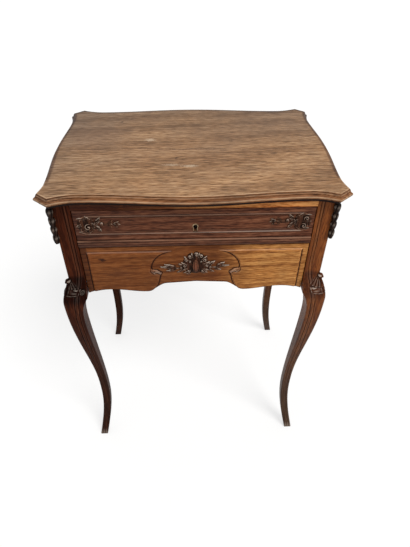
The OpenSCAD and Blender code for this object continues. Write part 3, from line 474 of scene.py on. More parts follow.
# Side and back panels
# Plain walnut boards tenoned into the posts, a little back from the posts' faces, with the grain along them.
# Their lower edges are shaped as the lower drawer's front is, and their rims are softened.
def edge_rise(x, half):
    """Rise of a board's shaped lower edge above its ends, at x from its middle. half is half its width."""
    x = abs(x) * post_corner / half
    rise = np.where(x < 56, 25 - 3.5 * x / 56, 21.5 - 19.1 * ease((x - 56) / 38))
    rise = np.where(x > 94, 2.4 + 7.6 * ease((x - 94) / 71), rise)
    return np.where(x > 165, 10 * (1 - np.clip((x - 165) / 46, 0, 1) ** 2.2), rise)


def board(name, node, half, middle, face, back, axis, material):
    """A board with a shaped lower edge. face and back are the planes of its broad sides, across an axis."""
    soft, bevel = 0.7, 0.3
    u = np.linspace(-half, half, 161)
    lower = np.stack([u, case_low + edge_rise(u, half)], -1)
    outline = np.vstack([lower, [[half, case_top], [-half, case_top]]])
    ahead, behind = np.roll(outline, -1, 0) - outline, outline - np.roll(outline, 1, 0)
    ahead, behind = (d / np.hypot(*d.T)[:, None] for d in (ahead, behind))
    inward = np.stack([-(ahead + behind)[:, 1], (ahead + behind)[:, 0]], -1)
    inward = inward / (1 + np.sum(ahead * behind, 1))[:, None]
    step = math.copysign(soft, back - face)
    rings = []
    for inset, plane in ((soft, face), (bevel * soft, face + bevel * step), (0, face + step),
                         (0, back - step), (soft, back)):
        u, z = (outline + inward * inset + (middle, 0)).T
        plane = np.full(len(u), plane)
        rings.append(np.stack([plane, u, z] if axis == "x" else [u, plane, z], -1))
    if (axis == "x") == (back > face):
        rings = rings[::-1]
    add_piece(name, *loft(np.array(rings)), "case", material, node)


panel_face, panel_back = 28, 10
half_depth, middle_y = (rear_y - front_y) / 2, (rear_y + front_y) / 2
# The left side panel's wood is a darker copy of the right one's, as painted shade on the side away from the
# lamp.
walnut_side_shaded_left = wood(
    "walnut_side_shaded_left", "Y", rgb(54, 24, 13), rgb(72, 34, 18), rgb(92, 48, 28), 0.4, 2.9, shine=0.05)
walnut_side_lit_right = wood(
    "walnut_side_lit_right", "Y", rgb(84, 42, 18), rgb(112, 62, 28), rgb(138, 82, 42), 0.4, 4.7, figure=0.2)
walnut_plain = wood("walnut_plain", "X", rgb(52, 28, 16), rgb(88, 52, 30), rgb(120, 78, 48), 0.5, 5.5)
for side, sign, walnut_side in (("left", -1, walnut_side_shaded_left), ("right", 1, walnut_side_lit_right)):
    board(side + "_panel", "side_panel_" + side, half_depth, middle_y, sign * (post_corner + panel_face),
          sign * (post_corner + panel_back), "x", walnut_side)
board("rear_panel", "back_panel", post_corner, 0, rear_y + panel_face, rear_y + panel_back, "y", walnut_plain)


# Rails, runners, guides, kickers, stops and glue blocks
# The walnut rail above the upper drawer shows under the top. The rest is bare oak inside the case, dry and
# darkened: it carries and steers the drawers, and holds the top to the case.
def give(nodes, material):
    """Puts a material on CAD nodes that keep their own shape."""
    for name in nodes:
        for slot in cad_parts[name].material_slots:
            slot.material = material


# The rail's wood darkens towards the left as painted shade, and along its top edge as painted shadow under
# the table top.
walnut_rail = wood(
    "walnut_rail", "X", rgb(152, 84, 38), rgb(212, 130, 66), rgb(236, 166, 98), 0.42, 6.2,
    slides=[(0, -0.12, 0.13, (0.08, 0.05, 0.05, 1)), (2, 0.7045, 0.7, (0.16, 0.12, 0.12, 1))])
give(["top_front_rail"], walnut_rail)
oak = (rgb(112, 82, 54), rgb(148, 114, 78), rgb(176, 143, 102), 0.62)
oak_x = wood("oak_x", "X", *oak, 7.7, figure=0.25, ring=7)
oak_y = wood("oak_y", "Y", *oak, 8.3, figure=0.25, ring=7)
give(["middle_rail", "glue_blocks", "upper_drawer_stops"], oak_x)
give([part + side for part in ("kicker", "upper_runner", "lower_runner", "upper_guide", "lower_guide")
      for side in ("_left", "_right")], oak_y)


# Screws
# Slotted steel screws, brown with age. Those in the kickers and the front rail hold the top, and those in the
# runners hold the runners to the case.
def metal(name, base, tarnish, rough):
    """A metal with a tarnished skin in patches, fine scratches and an uneven shine."""
    material, add = start_material(name)
    where = add("TexCoord", out="Object")
    spots = add("TexNoise", {"Vector": where, "Scale": 420.0, "Detail": 4.0})
    drawn = add("Mapping", {"Vector": where, "Scale": (300, 2600, 2600), "Rotation": (0.3, 0.5, 0.7)})
    lines = add("TexNoise", {"Vector": drawn, "Scale": 1.0, "Detail": 1.0})
    cover = add("MapRange", {"Value": spots, "From Min": 0.4, "From Max": 0.64})
    colour = add("Mix", {0: cover, 6: base, 7: tarnish}, 2, data_type="RGBA")
    gloss = add("Math", {0: cover, 1: 0.25, 2: rough}, operation="MULTIPLY_ADD")
    gloss = add("Math", {0: lines, 1: 0.2, 2: gloss}, operation="MULTIPLY_ADD")
    relief = add("Bump", {"Strength": 0.2, "Distance": 0.0002, "Height": lines})
    surface = {"Base Color": colour, "Roughness": gloss, "Normal": relief, "Metallic": 0.9}
    add("OutputMaterial", {0: add("BsdfPrincipled", surface)}, None)
    return material


steel = metal("steel", rgb(142, 140, 136), rgb(84, 70, 58), 0.3)
brass = metal("brass", rgb(166, 142, 112), rgb(96, 74, 50), 0.34)
give(["top_screws", "runner_screws"], steel)


# Husk drops
# Four husks carved in walnut hang down the outer arris of each front post, each smaller than the one above.
# Geometry Nodes set copies of one husk down a line. Its sepals are ripples round a pointed swelling.
def husk_pattern(length, radius, material):
    """One husk hanging from the origin, with five rippled sepals, and a neck up into the husk above."""
    neck_r, neck_up, least_r = 3.4, 9, 3.6
    t = np.linspace(0, 1, 30)[:, None]
    turn = np.linspace(0, 2 * np.pi, 41)[:-1]

    def rows(neck, body):
        """A value on the neck's ring and on the rings of the body, from the lowest ring up."""
        return np.vstack([spread(neck, turn), spread(body, turn)])[::-1]

    swell = least_r + (radius - least_r) * np.sin(np.pi * t ** 0.7)
    ripple = 0.2 * abs(np.cos(2.5 * turn + 1.2 * t)) ** 0.6 * np.sin(np.pi * t) ** 0.5
    r = rows(neck_r, swell * (0.8 + ripple + 0.2 * (1 - np.sin(np.pi * t))))
    rings = np.stack([r * np.cos(turn), r * np.sin(turn), rows(neck_up, -length * t)], -1)
    sepals = rows(0, swell * ripple)
    ridge = sepals - blur(sepals, 2, wrap=True)
    upper, ends = rows(0, band(t, 0.25, 0.16)), rows(1, band(t, 0, 0.1) + band(t, 1, 0.1))
    # The necks and the hollows between sepals are darkened as painted shade, the sepals' ridges are lightened
    # as wear and painted highlight, and their upper parts get painted glints.
    marks = {"hollow": ends - ridge * 7, "rub": ridge * 3, "bright": (ridge * 5 - 0.3) * upper}
    return bpy.data.objects.new("husk_pattern", smooth_mesh("husk_pattern", *loft(rings), material, marks))


def drop_group():
    """Geometry Nodes that set copies of a husk down from a start point, each smaller by a factor."""
    group = bpy.data.node_groups.new("husk_drop", "GeometryNodeTree")
    for label, kind in (("Count", "Int"), ("Step", "Float"), ("Shrink", "Float"), ("Start", "Vector"),
                        ("Husk", "Object"), ("Wood", "Material")):
        group.interface.new_socket(label, in_out="INPUT", socket_type="NodeSocket" + kind)
    group.interface.new_socket("Geometry", in_out="OUTPUT", socket_type="NodeSocketGeometry")
    add = node_adder(group, family="")
    given = add("NodeGroupInput", out=None)
    down = add("ShaderNodeMath", {0: given["Step"], 1: -1}, operation="MULTIPLY")
    line = add("GeometryNodeMeshLine", {"Count": given["Count"], "Start Location": given["Start"],
                                        "Offset": add("ShaderNodeCombineXYZ", {"Z": down})}, mode="OFFSET")
    index = add("GeometryNodeInputIndex")
    size = add("ShaderNodeMath", {0: given["Shrink"], 1: index}, operation="POWER")
    turn = add("ShaderNodeMath", {0: index, 1: 0.5}, operation="MULTIPLY")
    husk = add("GeometryNodeObjectInfo", {"Object": given["Husk"]}, "Geometry", transform_space="ORIGINAL")
    turn = add("ShaderNodeCombineXYZ", {"Z": turn})
    placed = {"Points": line, "Instance": husk, "Scale": size, "Rotation": turn}
    copies = add("GeometryNodeInstanceOnPoints", placed)
    real = add("GeometryNodeRealizeInstances", {0: copies})
    add("NodeGroupOutput", {0: add("GeometryNodeSetMaterial", {0: real, "Material": given["Wood"]})}, None)
    return group


def grow(name, group, values, body, node):
    """Runs a node group once on an empty mesh and keeps the result as a plain piece."""
    piece = new_object(name, bpy.data.meshes.new(name))
    modifier = piece.modifiers.new("grow", "NODES")
    modifier.node_group = group
    for item in group.interface.items_tree:
        if item.item_type == "SOCKET" and item.in_out == "INPUT":
            modifier[item.identifier] = values[item.name]
    made = bpy.data.meshes.new_from_object(piece.evaluated_get(bpy.context.evaluated_depsgraph_get()))
    piece.modifiers.remove(modifier)
    piece.data = made
    made.name = name
    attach(piece, body)
    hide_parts(node)


walnut_husk = wood(
    "walnut_husk", "Z", rgb(12, 6, 4), rgb(24, 13, 9), rgb(42, 25, 18), 0.3, 8.8, shine=0.06,
    wear_and_highlight_colour=rgb(72, 48, 36))
husk = husk_pattern(20.5, 6.3, walnut_husk)
drops = drop_group()
for side, sign in (("left", -1), ("right", 1)):
    grow("husks_" + side, drops, {
        "Count": 4, "Step": 0.018, "Shrink": 0.97, "Start": (sign * 0.2445, -0.168, 0.6995), "Husk": husk,
        "Wood": walnut_husk}, "case", "husk_drop_" + side)


# Upper drawer
# Its walnut front has a sunk panel in a beaded frame with rounded ends, and a moulding along its lower edge.
# The oak box behind it is dovetailed, and the front carries the lock.
upper_low, upper_top, keyhole_z, half_front = 615, 691, 654, 209.5
border_y, ground_y, upper_limit = -166, -163.5, -0.163


def front_base(node, limit):
    """A copy of a front's solid without the faces before limit, in metres, its rims drawn back a little."""
    drawn_back, half_hole, hole_reach = 0.0005, 0.009, 0.02
    bm = bmesh.new()
    bm.from_mesh(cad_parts[node].data)
    bmesh.ops.remove_doubles(bm, verts=bm.verts, dist=1e-5)
    gone = [f for f in bm.faces if all(v.co.y < limit for v in f.verts)]
    bmesh.ops.delete(bm, geom=gone, context="FACES")
    for v in bm.verts:
        at_keyhole = abs(v.co.x) <= half_hole and abs(v.co.z - keyhole_z / 1000) <= hole_reach
        if v.co.y < limit + 0.0001 and not at_keyhole:
            v.co.y += drawn_back
    bmesh.ops.dissolve_limit(bm, angle_limit=0.02, verts=bm.verts, edges=bm.edges)
    points = np.array([v.co[:] for v in bm.verts]) * 1000
    faces = [[v.index for v in f.verts] for f in bm.faces]
    bm.free()
    return points, faces


def grid_faces(rows, columns):
    """Four-sided faces of a grid of points, row after row."""
    i, j = np.meshgrid(np.arange(columns - 1), np.arange(rows - 1))
    a = j * columns + i
    return np.stack([a, a + 1, a + columns + 1, a + columns], -1)


def front_skin(xs, low, high, out, base_y, add_marks, keep=None):
    """A fine skin over a front from low(x) to high. out(x, z) is its height before the plane base_y."""
    rim_drop, row = 0.5, 0.62
    rows = np.linspace(0, 1, 2 + int((high - low(xs).max()) / row))
    rim = rim_drop / (high - low(xs).min())
    rows = np.concatenate([[0, rim], rows[1:-1], [1 - rim, 1]])
    x = spread(xs, rows[:, None])
    z = low(xs) + (high - low(xs)) * rows[:, None]
    h = out(x, z)
    drop = np.zeros_like(h)
    drop[0] = drop[-1] = drop[:, 0] = drop[:, -1] = rim_drop
    faces = grid_faces(*h.shape).reshape(-1, 4)
    if keep is not None:
        kept = keep((x[:-1, :-1] + x[1:, 1:]) / 2, (z[:-1, :-1] + z[1:, 1:]) / 2)
        faces = faces[kept.ravel()]
    ridge = h - blur(h, 3)
    # Hollows are darkened as painted shade, and ridges are lightened as wear and painted highlight.
    marks = {"hollow": np.clip(-ridge * 2.2, 0, 1), "rub": np.clip(ridge * 2.0, 0, 1)}
    add_marks(x, z, marks)
    return np.stack([x, base_y - h + drop, z], -1).reshape(-1, 3), faces.tolist(), marks


def joined_front(name, node, limit, skin, material, body):
    """A drawer front: the CAD solid's back and sides, from limit back, with the fine skin before them."""
    base_points, base_faces = front_base(node, limit)
    points, faces, marks = skin
    shift = len(base_points)
    marks = {mark: np.concatenate([np.zeros(shift), values.ravel()]) for mark, values in marks.items()}
    faces = base_faces + [[k + shift for k in face] for face in faces]
    add_piece(name, np.vstack([base_points, points]), faces, body, material, node, marks)


def upper_out(x, z):
    """The upper front's moulded face: height before the border, at x and z."""
    half_long, half_high, middle_z, corner_r = 200, 19.6, 661.3, 11
    up = z - upper_low
    foot = np.clip(1.5 + up / 3, 0, 2.5) * ease((13.4 - up) / 1.6)
    bead = 0.9 + 1.6 * dome(((up - 12.6) / 2.0) ** 2)
    foot = np.where(abs(up - 12.6) < 2.0, bead, foot) - 0.8 * band(up, 10, 0.7)
    dx, dz = abs(x) - (half_long - corner_r), abs(z - middle_z) - (half_high - corner_r)
    d = corner_r - np.hypot(np.maximum(dx, 0), np.maximum(dz, 0)) - np.minimum(np.maximum(dx, dz), 0)
    rim = 0.95 * band(d, 1.2, 0.65) - 0.3 * band(d, -0.5, 0.5)
    sink = -2.5 * ease((d - 1.9) / 3.3) + 0.9 * band(d, 4.7, 0.5)
    return np.where(up < 18, foot, rim + sink)


def upper_marks(x, z, marks):
    """Darker along the moulding's foot, and painted highlights along the frame's two lines, stronger on the
    lower line and brightening towards the right as painted light.
    """
    lower_line, upper_line = band(z, 642.9, 0.9), band(z, 679.7, 0.9)
    lit_from_right = 0.3 + 0.7 * ease((x + 60) / 200)
    marks["stain"] = 0.6 * ease((625 - z) / 3)
    marks["bright"] = (0.6 * lower_line * lit_from_right + 0.15 * upper_line) * (abs(x) < 188)


def beside_keyhole(x, z):
    """True outside the keyhole, a round hole with a slot below it."""
    round_r, half_slot, slot_low = 4.5, 3.3, 644.3
    beside_slot = (abs(x) > half_slot) | (z > keyhole_z) | (z < slot_low)
    return beside_slot & (np.hypot(x, z - keyhole_z) > round_r)


# The upper front's wood darkens towards its left end as painted shade.
walnut_dark = wood(
    "walnut_dark", "X", rgb(60, 29, 17), rgb(98, 56, 37), rgb(130, 84, 60), 0.4, 1.9, figure=0.2,
    fineness=1.2, wear_and_highlight_colour=rgb(148, 110, 87), slides=[(0, -0.2, -0.1, (0.6, 0.62, 0.72, 1))])
ends = [half_front - 0.5, half_front]
columns = np.concatenate([-np.array(ends[::-1]), np.linspace(1.1 - half_front, half_front - 1.1, 640), ends])
skin = front_skin(columns, lambda x: spread(upper_low, x), upper_top, upper_out, border_y, upper_marks,
                  beside_keyhole)
joined_front("upper_front", "upper_drawer_front", upper_limit, skin, walnut_dark, "upper_drawer")
give(["upper_drawer_back", "upper_drawer_bottom"], oak_x)
give(["upper_drawer_side_left", "upper_drawer_side_right"], oak_y)


# Leaf sprays
# A cluster of leaves with rolled ends lies on each end of the sunk panel, with a bud, a stem and a small tip.
# Each is carved in a thin slip of walnut and glued on. The left one has one scroll, the right one two.
def leaf_height(u, v, base_x, base_z, tip_x, tip_z, bend, width, rise, lobes):
    """Height of one leaf over points u and v: veined, hollowed at its midrib and bowed sideways by bend."""
    base, tip = np.array([base_x, base_z]), np.array([tip_x, tip_z])
    run = tip - base
    length = np.hypot(*run)
    middle = (base + tip) / 2 + bend * np.array([-run[1], run[0]]) / length
    near = (abs(u - middle[0]) < length) & (abs(v - middle[1]) < length)
    height = np.zeros_like(u)
    p = np.stack([u[near], v[near]], -1)
    s = np.linspace(0, 1, 29)[:, None]
    line = base * (1 - s) ** 2 + 2 * middle * s * (1 - s) + tip * s ** 2
    slope = 2 * (middle - base) * (1 - s) + 2 * (tip - middle) * s
    gap = p[:, None, :] - line[None]
    k = np.argmin(np.sum(gap ** 2, -1), 1)
    gap, slope, s = gap[np.arange(len(p)), k], slope[k], s[k, 0]
    s = np.clip(s + np.sum(gap * slope, 1) / np.sum(slope ** 2, 1), 0, 1)
    side = (slope[:, 0] * gap[:, 1] - slope[:, 1] * gap[:, 0]) / np.hypot(*slope.T)
    half = width / 2 * np.sin(np.pi * np.clip(s, 0.01, 0.99) ** 0.75) ** 0.8
    if lobes:
        half = half * (0.8 + 0.32 * abs(np.sin(np.pi * lobes * s)) ** 0.8)
    t = np.where((s > 0) & (s < 1), abs(side), np.hypot(*gap.T)) / np.maximum(half, 0.02)
    dip = 1 - 0.45 * band(t, 0.12, 0.3) + 0.25 * band(t, 0, 0.13)
    veins = 1 - 0.16 * (0.5 + 0.5 * np.cos(2 * np.pi * max(lobes, 3) * s + 3.4 * t))
    height[near] = rise * dome(t ** 2.4) * dip * veins * (0.5 + 0.5 * ease(s / 0.6)) * (t < 1)
    return height


def bud_height(u, v, place, size, rise):
    """Height of a rounded bud."""
    return rise * dome(((u - place[0]) / size[0]) ** 2 + ((v - place[1]) / size[1]) ** 2)


def curl_height(u, v, x, z, size, rise, turn):
    """Height of a leaf's tip rolled up in a round curl, with a groove that winds in to its eye."""
    r, a = np.hypot(u - x, v - z), np.arctan2(v - z, u - x)
    groove = 0.42 + 0.58 * np.cos(np.pi * r / size * 1.5 - a / 2 + turn) ** 2
    return rise * ease((size - r) / (0.45 * size)) * groove * (1 - 0.25 * (r / size) ** 2)


def highest(u, v, heights, leaves, curls):
    """The highest of some heights, leaves and curls at each point u and v."""
    heights = heights + [leaf_height(u, v, *leaf) for leaf in leaves]
    return np.maximum.reduce(heights + [curl_height(u, v, *curl) for curl in curls])


def carve(name, node, body, u_range, v_range, heights, floor_y, material, painted_glint):
    """A carving on a front, with heights(u, v) over the plane floor_y at each point of a fine grid."""
    step, least = 0.36, 0.12
    u, v = np.meshgrid(*(np.arange(lo, hi, step) for lo, hi in (u_range, v_range)))
    h = heights(u, v)
    h = np.where(h > least, 0.6 * h + 0.4 * blur(h, 1), 0)
    tall = np.maximum.reduce([h[:-1, :-1], h[1:, :-1], h[:-1, 1:], h[1:, 1:]]) > 0
    ridge = h - blur(h, 4)
    edge = (h < 0.5) & (blur(h, 3) > 0.4)
    y = floor_y - np.where(h > 0, h, -0.4)
    # Recesses, the carving's edge on its ground and the undersides of its forms are darkened as painted
    # shade. Ridges are lightened as wear and painted highlight, and the upper sides of high ridges get
    # painted glints.
    lit_upper_side = ease(0.45 - 1.5 * np.gradient(blur(h, 1), axis=0))
    marks = {"hollow": np.clip(-ridge * 1.9, 0, 1) + 0.6 * edge + 0.3 * (1 - lit_upper_side) * (h > 0),
             "rub": ridge * 0.9,
             "bright": painted_glint * lit_upper_side * np.clip((ridge - 0.4) * 2.2, 0, 1) * (h > 2)}
    points, faces = np.stack([u, y, v], -1).reshape(-1, 3), grid_faces(*h.shape)[tall].tolist()
    add_piece(name, points, faces, body, material, node, marks, sharp=80)


def spray(sign):
    """Heights of one spray. Its forms are placed with u measured outwards, whichever side it is on."""
    leaves = [
        (179, 668, 204.5, 675.5, 5, 8.5, 5.4, 3), (180, 655, 203.5, 648, -5, 8.5, 5.4, 3),
        (176, 670, 189, 681.5, -3, 6.5, 5.2, 2), (176, 654, 187, 643.8, 3, 6.5, 5.2, 2),
        (174, 668, 164, 678, 3, 6, 4.4, 2), (174, 656, 164, 648, -3, 6, 4.4, 2),
        (180, 664, 165, 669, 2.5, 5.5, 4.6, 0), (180, 660, 166, 656, -2.5, 5.5, 4.6, 0),
        (187, 668, 170, 662.5, 2, 7.5, 5.6, 3), (187, 654, 171, 660, -2, 7, 5.2, 3),
        (166, 663, 140, 663.4, 0.8, 4.0, 2.8, 0), (152, 664, 143, 671, 1.5, 4.5, 2.6, 0),
        (153, 662, 145, 655, -1.5, 4.5, 2.6, 0), (144, 663, 132, 669, 2, 5.5, 3.2, 0),
        (144, 663, 129, 661.5, -1, 5, 3.2, 0), (143, 662, 135, 655, -1.5, 5, 2.8, 0)]
    if sign < 0:
        leaves += [(190, 665, 206.2, 659, 2.5, 7.5, 6.6, 0), (176, 652, 196, 651, 3, 5, 6.2, 0)]
        curls = [(185.5, 659.5, 8.8, 7.4, 0.4)]
    else:
        leaves += [(178, 664, 205, 662.5, 1, 5.5, 5.8, 2), (176, 671, 190, 676, -3, 5, 5.8, 0)]
        curls = [(195, 669.5, 7.4, 7.2, 1.6), (191, 654.5, 6.8, 7.2, 0.6)]
    curls += [(139, 664, 3.6, 3.2, 0.6)]

    def heights(u, v):
        u = u * sign
        ragged = 1 + 0.1 * np.cos(7 * np.arctan2(v - 662, u - 190))
        ground = 3.6 * dome((np.hypot((u - 190) / 16.5, (v - 662) / 17.5) * ragged) ** 4)
        return highest(u, v, [ground, bud_height(u, v, (162, 663.5), (3.2, 4.6), 5.0)], leaves, curls)

    return heights


walnut_carved = wood(
    "walnut_carved", "Z", rgb(26, 14, 9), rgb(54, 31, 20), rgb(84, 52, 36), 0.3, 9.4, shine=0.05,
    wear_and_highlight_colour=rgb(138, 98, 74))
for side, sign, run, painted_glint in (("left", -1, (-206.5, -126), 0.8), ("right", 1, (126, 206.5), 0.65)):
    carve("spray_" + side, "upper_spray_" + side, "upper_drawer", run, (643, 683), spray(sign), ground_y,
          walnut_carved, painted_glint)


# Keyhole and lock
# A thin brass rim round the keyhole, and a steel lock let into the back of the front and screwed there. It
# has a brass selvedge plate, and a brass bolt that rises behind the rail above.
give(["keyhole_escutcheon", "lock_selvedge", "lock_bolt"], brass)
give(["lock_case", "lock_bolt_spring", "lock_drill_pin", "lock_screws"], steel)


# Lower drawer
# Its walnut front has a raised panel each side of a cartouche. Each panel's inner side rises in an arch,
# curls in on itself and runs down in a hollow line to the shaped lower edge. It has no pull, and is drawn by
# that edge.
lower_top, face_y, lower_limit = 612, -164.5, -0.1644
turns = (56, 94, 165, post_corner)
edge_x = np.unique(np.concatenate([[0]] + [np.linspace(*stretch, 9) for stretch in zip(turns, turns[1:])]))
edge_z = case_low + edge_rise(edge_x, post_corner)


def lower_edge(x):
    """Height of the lower front's shaped edge, in the straight steps that its CAD solid has."""
    return np.interp(abs(x), edge_x, edge_z)


def panel_outline():
    """The right raised panel, running past the lower edge so that only its other sides have a moulding."""
    a = np.radians(np.linspace(84, 0, 30))
    arch = np.stack([41 + 43.5 * np.cos(a), 558.5 + 42 * np.sin(a)], -1)
    curl = [(84.2, 555), (82.4, 551.8), (79, 549.8), (74, 549.2), (69.5, 549.8), (66.8, 549.6), (66, 547.8)]
    line = [(67.2, 544.5), (68.9, 540), (70, 534), (71.2, 527.5), (73.6, 520.5), (77, 514.5), (80.5, 509),
            (83, 500), (83, 470)]
    return np.vstack([[(198, 600.5)], arch, curl, line, [(198, 470)]])


def signed_distance(x, z, outline):
    """Distance from a closed outline, positive inside it."""
    p = np.stack([x.ravel(), z.ravel()], -1)
    best = np.full(len(p), 1e9)
    inside = np.zeros(len(p), bool)
    for a, b in zip(outline, np.roll(outline, -1, 0)):
        run = b - a
        t = np.clip((p - a) @ run / (run @ run), 0, 1)
        best = np.minimum(best, np.hypot(*(p - a - t[:, None] * run).T))
        crosses = (a[1] > p[:, 1]) != (b[1] > p[:, 1])
        at = a[0] + (p[:, 1] - a[1]) * (b[0] - a[0]) / (b[1] - a[1] if b[1] != a[1] else 1e-9)
        inside ^= crosses & (p[:, 0] < at)
    return np.where(inside, best, -best).reshape(x.shape)


def lower_out(x, z):
    """The lower front's carved face: height before its ground, at x and z."""
    x = abs(x)
    d = signed_distance(x, z, panel_outline())
    face = 1.2 * ease((d + 0.2) / 1.4) + 0.8 * ease((d - 1.8) / 1.8) - 0.8 * band(d, -1.3, 1.6)
    scroll = np.maximum.reduce([
        leaf_height(x, z, 85, 556, 65.5, 548.2, -3.2, 6.5, 3.2, 3),
        leaf_height(x, z, 84, 560, 76, 547, 3.5, 5, 2.8, 0),
        bud_height(x, z, (67.5, 549.2), (3, 2.6), 3.0)])
    return np.maximum(face, scroll + np.where(scroll > 0.1, 0.4, -1))


def lower_marks(x, z, marks):
    """Painted shade in the groove round the raised panels, darker along the lower edge and at the left end, a
    painted highlight along the panels' tops, and painted glints and deeper painted shade on the scroll.
    """
    d = signed_distance(abs(x), z, panel_outline())
    upper = ease((z - 596) / 4) * (z < 606)
    lit_top_line = upper * band(d, 0.2, 1.1)
    foot = 0.75 * band(d, -1.2, 1.8) * (1 - upper)
    along_edge, left_end = ease((2.6 - (z - lower_edge(x))) / 1.6), 0.85 * ease((-x - 197) / 2)
    scroll = band(abs(x), 75, 10) * band(z, 552, 6)
    marks["stain"] = np.maximum.reduce([foot, along_edge, left_end])
    marks["hollow"] = marks["hollow"] * (1 - 0.85 * upper) * (1 + scroll)
    marks["rub"] = np.maximum(marks["rub"], lit_top_line)
    marks["bright"] = np.maximum(0.2 * lit_top_line, 0.6 * scroll * marks["rub"])


# The lower front's wood darkens towards the left as painted shade.
walnut_warm = wood(
    "walnut_warm", "X", rgb(128, 76, 34), rgb(176, 117, 60), rgb(210, 152, 88), 0.42, 3.4, figure=0.16,
    fineness=1.25, slides=[(0, 0.04, 0.11, (0.36, 0.265, 0.25, 1))], flaws_on="XZ",
    flaws=[(-0.1725, 0.5853, 0.008, 0.006, 1.0, rgb(40, 19, 11)),
           (-0.145, 0.552, 0.045, 0.022, 0.35, rgb(74, 42, 26))])
skin = front_skin(columns, lower_edge, lower_top, lower_out, face_y, lower_marks)
joined_front("lower_front", "lower_drawer_front", lower_limit, skin, walnut_warm, "lower_drawer")
give(["lower_drawer_back", "lower_drawer_bottom"], oak_x)
give(["lower_drawer_side_left", "lower_drawer_side_right"], oak_y)


# Cartouche carving
# A crown of curling leaves round an upright bud, with a leafy branch to each side. It is carved in walnut and
# glued to the lower front between the raised panels. Its halves differ a little, as in all hand carving.
def crown(u, v):
    """Height of the crown over points u and v."""
    leaves = [
        (-14, 562, -44, 560.5, 1.5, 4, 3.0, 0), (-36, 561, -59, 571, -2, 7.5, 4.6, 0),
        (-38, 560, -67, 565, -2, 6.5, 4.4, 0), (-34, 560, -56, 555.5, 2, 6, 3.8, 0),
        (-24, 562, -32, 572, -2, 6, 3.6, 0), (-22, 560, -36, 551, 3, 6, 3.2, 0),
        (14, 562, 46, 562, -1.5, 4, 3.0, 0), (24, 563, 37, 577, 4, 7.5, 4.6, 2),
        (40, 562.5, 55, 573.5, 3, 7.5, 4.4, 2), (38, 562, 64, 566, 1.5, 6, 4.0, 0),
        (34, 562, 49, 555.5, -2, 6, 3.6, 0), (22, 560, 36, 551, -3, 6, 3.2, 0),
        (-8, 556, -24, 549, 2, 6, 3.2, 0), (8, 556, 24, 549, -2, 6, 3.2, 0)]
    curls = [(1.5, 594, 5.2, 5.8, 0.5)]
    for side, sizes in ((-1, (5.2, 4.4, 5.4, 4.6)), (1, (4.6, 5.6, 4.4, 5.2))):
        curls += [(side * x, z, size, rise, side * turn) for x, z, size, rise, turn in (
            (10, 590, sizes[0], 5.8, 0.8), (17.5, 580.5, sizes[1], 5.4, 1.9), (21, 568, sizes[2], 5.0, 2.8),
            (13, 555, sizes[3], 4.6, 0.3), (11, 577, 3.4, 4.8, 2.2), (27, 562, 3.2, 3.8, 0.7))]
        leaves += [(side * base, low, side * tip, high, *rest) for base, low, tip, high, *rest in (
            (5, 580, 7, 597, -1.5 * side, 4.6, 5.0, 0), (9, 574, 21, 589, 2, 5, 5.0, 0),
            (10, 566, 27, 575, 2, 5, 4.8, 2), (9, 560, 26, 556, -2, 5, 4.4, 2),
            (7, 552, 18, 547, 2, 4.4, 3.8, 0))]
    ground = 2.2 * dome(np.hypot(u / 24, (v - 571) / 24) ** 4)
    bud = bud_height(u, v, (0, 566), (6.8, 16.5), 6.8) * (1 - 0.16 * band(abs(u), 2.4, 0.9))
    return highest(u, v, [ground, bud], leaves, curls)


walnut_crown = wood(
    "walnut_crown", "Z", rgb(30, 16, 10), rgb(60, 34, 22), rgb(92, 57, 40), 0.3, 9.4, shine=0.05,
    wear_and_highlight_colour=rgb(150, 112, 88), flaws_on="XZ", flaws=[(0, 0.566, 0.007, 0.017, 0.8, rgb(138, 80, 58))])
carve("crown_carving", "cartouche_carving", "lower_drawer", (-67, 67), (544, 603), crown, face_y,
      walnut_crown, painted_glint=1)


# Floor, light and camera
# A white seamless floor and backdrop, even light from all round, and one broad lamp high at the front right.
# The camera stands where the photograph's did.
half = 40
floor_mesh = bpy.data.meshes.new("floor")
corners = [(-half, -half, 0), (half, -half, 0), (half, half, 0), (-half, half, 0)]
floor_mesh.from_pydata(corners, [], [(0, 1, 2, 3)])
floor = new_object("floor", floor_mesh)


def white_for_eyes(add):
    """One where a ray comes from the camera, a mirror or glass, and nought where it carries light."""
    rays = add("LightPath", out=None)
    seen = add("Math", {0: rays["Is Camera Ray"], 1: rays["Is Glossy Ray"]}, operation="MAXIMUM")
    return add("Math", {0: seen, 1: rays["Is Transmission Ray"]}, operation="MAXIMUM")


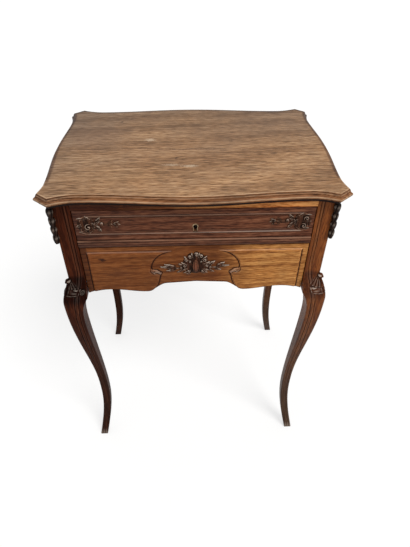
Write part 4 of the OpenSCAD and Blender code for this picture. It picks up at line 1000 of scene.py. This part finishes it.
pale, add = start_material("pale_floor")
mottle = add("TexNoise", {"Vector": add("TexCoord", out="Object"), "Scale": 3.0, "Detail": 2.0})
tint = add("MapRange", {"Value": mottle, "To Min": 0.58, "To Max": 0.62})
seen = white_for_eyes(add)
held_back = add("MapRange", {"Value": seen, "To Min": 1.0, "To Max": 0.6})
tint = add("Math", {0: tint, 1: held_back}, operation="MULTIPLY")
glow = add("Math", {0: seen, 1: 0.66}, operation="MULTIPLY")
surface = {"Base Color": tint, "Roughness": 0.9, "Specular IOR Level": 0.0,
           "Emission Color": (1, 1, 1, 1), "Emission Strength": glow}
add("OutputMaterial", {0: add("BsdfPrincipled", surface)}, None)
floor_mesh.materials.append(pale)

world = bpy.data.worlds.new("studio")
bpy.context.scene.world = world
world.use_nodes = True
world.node_tree.nodes.clear()
add = node_adder(world.node_tree)
level = add("MapRange", {"Value": white_for_eyes(add), "To Min": 0.55, "To Max": 1.0})
add("OutputWorld", {0: add("Background", {"Color": (1, 1, 1, 1), "Strength": level})}, None)

lamp_up, lamp_turn, lamp_breadth = (math.radians(angle) for angle in (50, 38, 28))
lamp_data = bpy.data.lights.new("broad_lamp", "SUN")
lamp_data.energy, lamp_data.angle = 0.5 * math.pi / math.sin(lamp_up), lamp_breadth
lamp_data.color = (1, 0.985, 0.96)
lamp = new_object("broad_lamp", lamp_data)
lamp.rotation_euler = (math.pi / 2 - lamp_up, 0, lamp_turn)

sensor, picture_height, focal_pixels = 36, 547, 437.71
camera = bpy.data.cameras.new("camera")
camera.sensor_width, camera.lens = sensor, focal_pixels * sensor / picture_height
yaw, pitch, roll = (math.radians(angle) for angle in (3.154, 40.663, 0.712))
facing = Matrix.Rotation(-yaw, 4, "Z") @ Matrix.Rotation(math.pi / 2 - pitch, 4, "X")
place = Matrix.Translation((-0.01725, -0.80231, 1.09366))
view = new_object("camera", camera)
view.matrix_world = place @ facing @ Matrix.Rotation(roll, 4, "Z")
bpy.context.scene.camera = view
bpy.context.scene.view_settings.view_transform = "Standard"
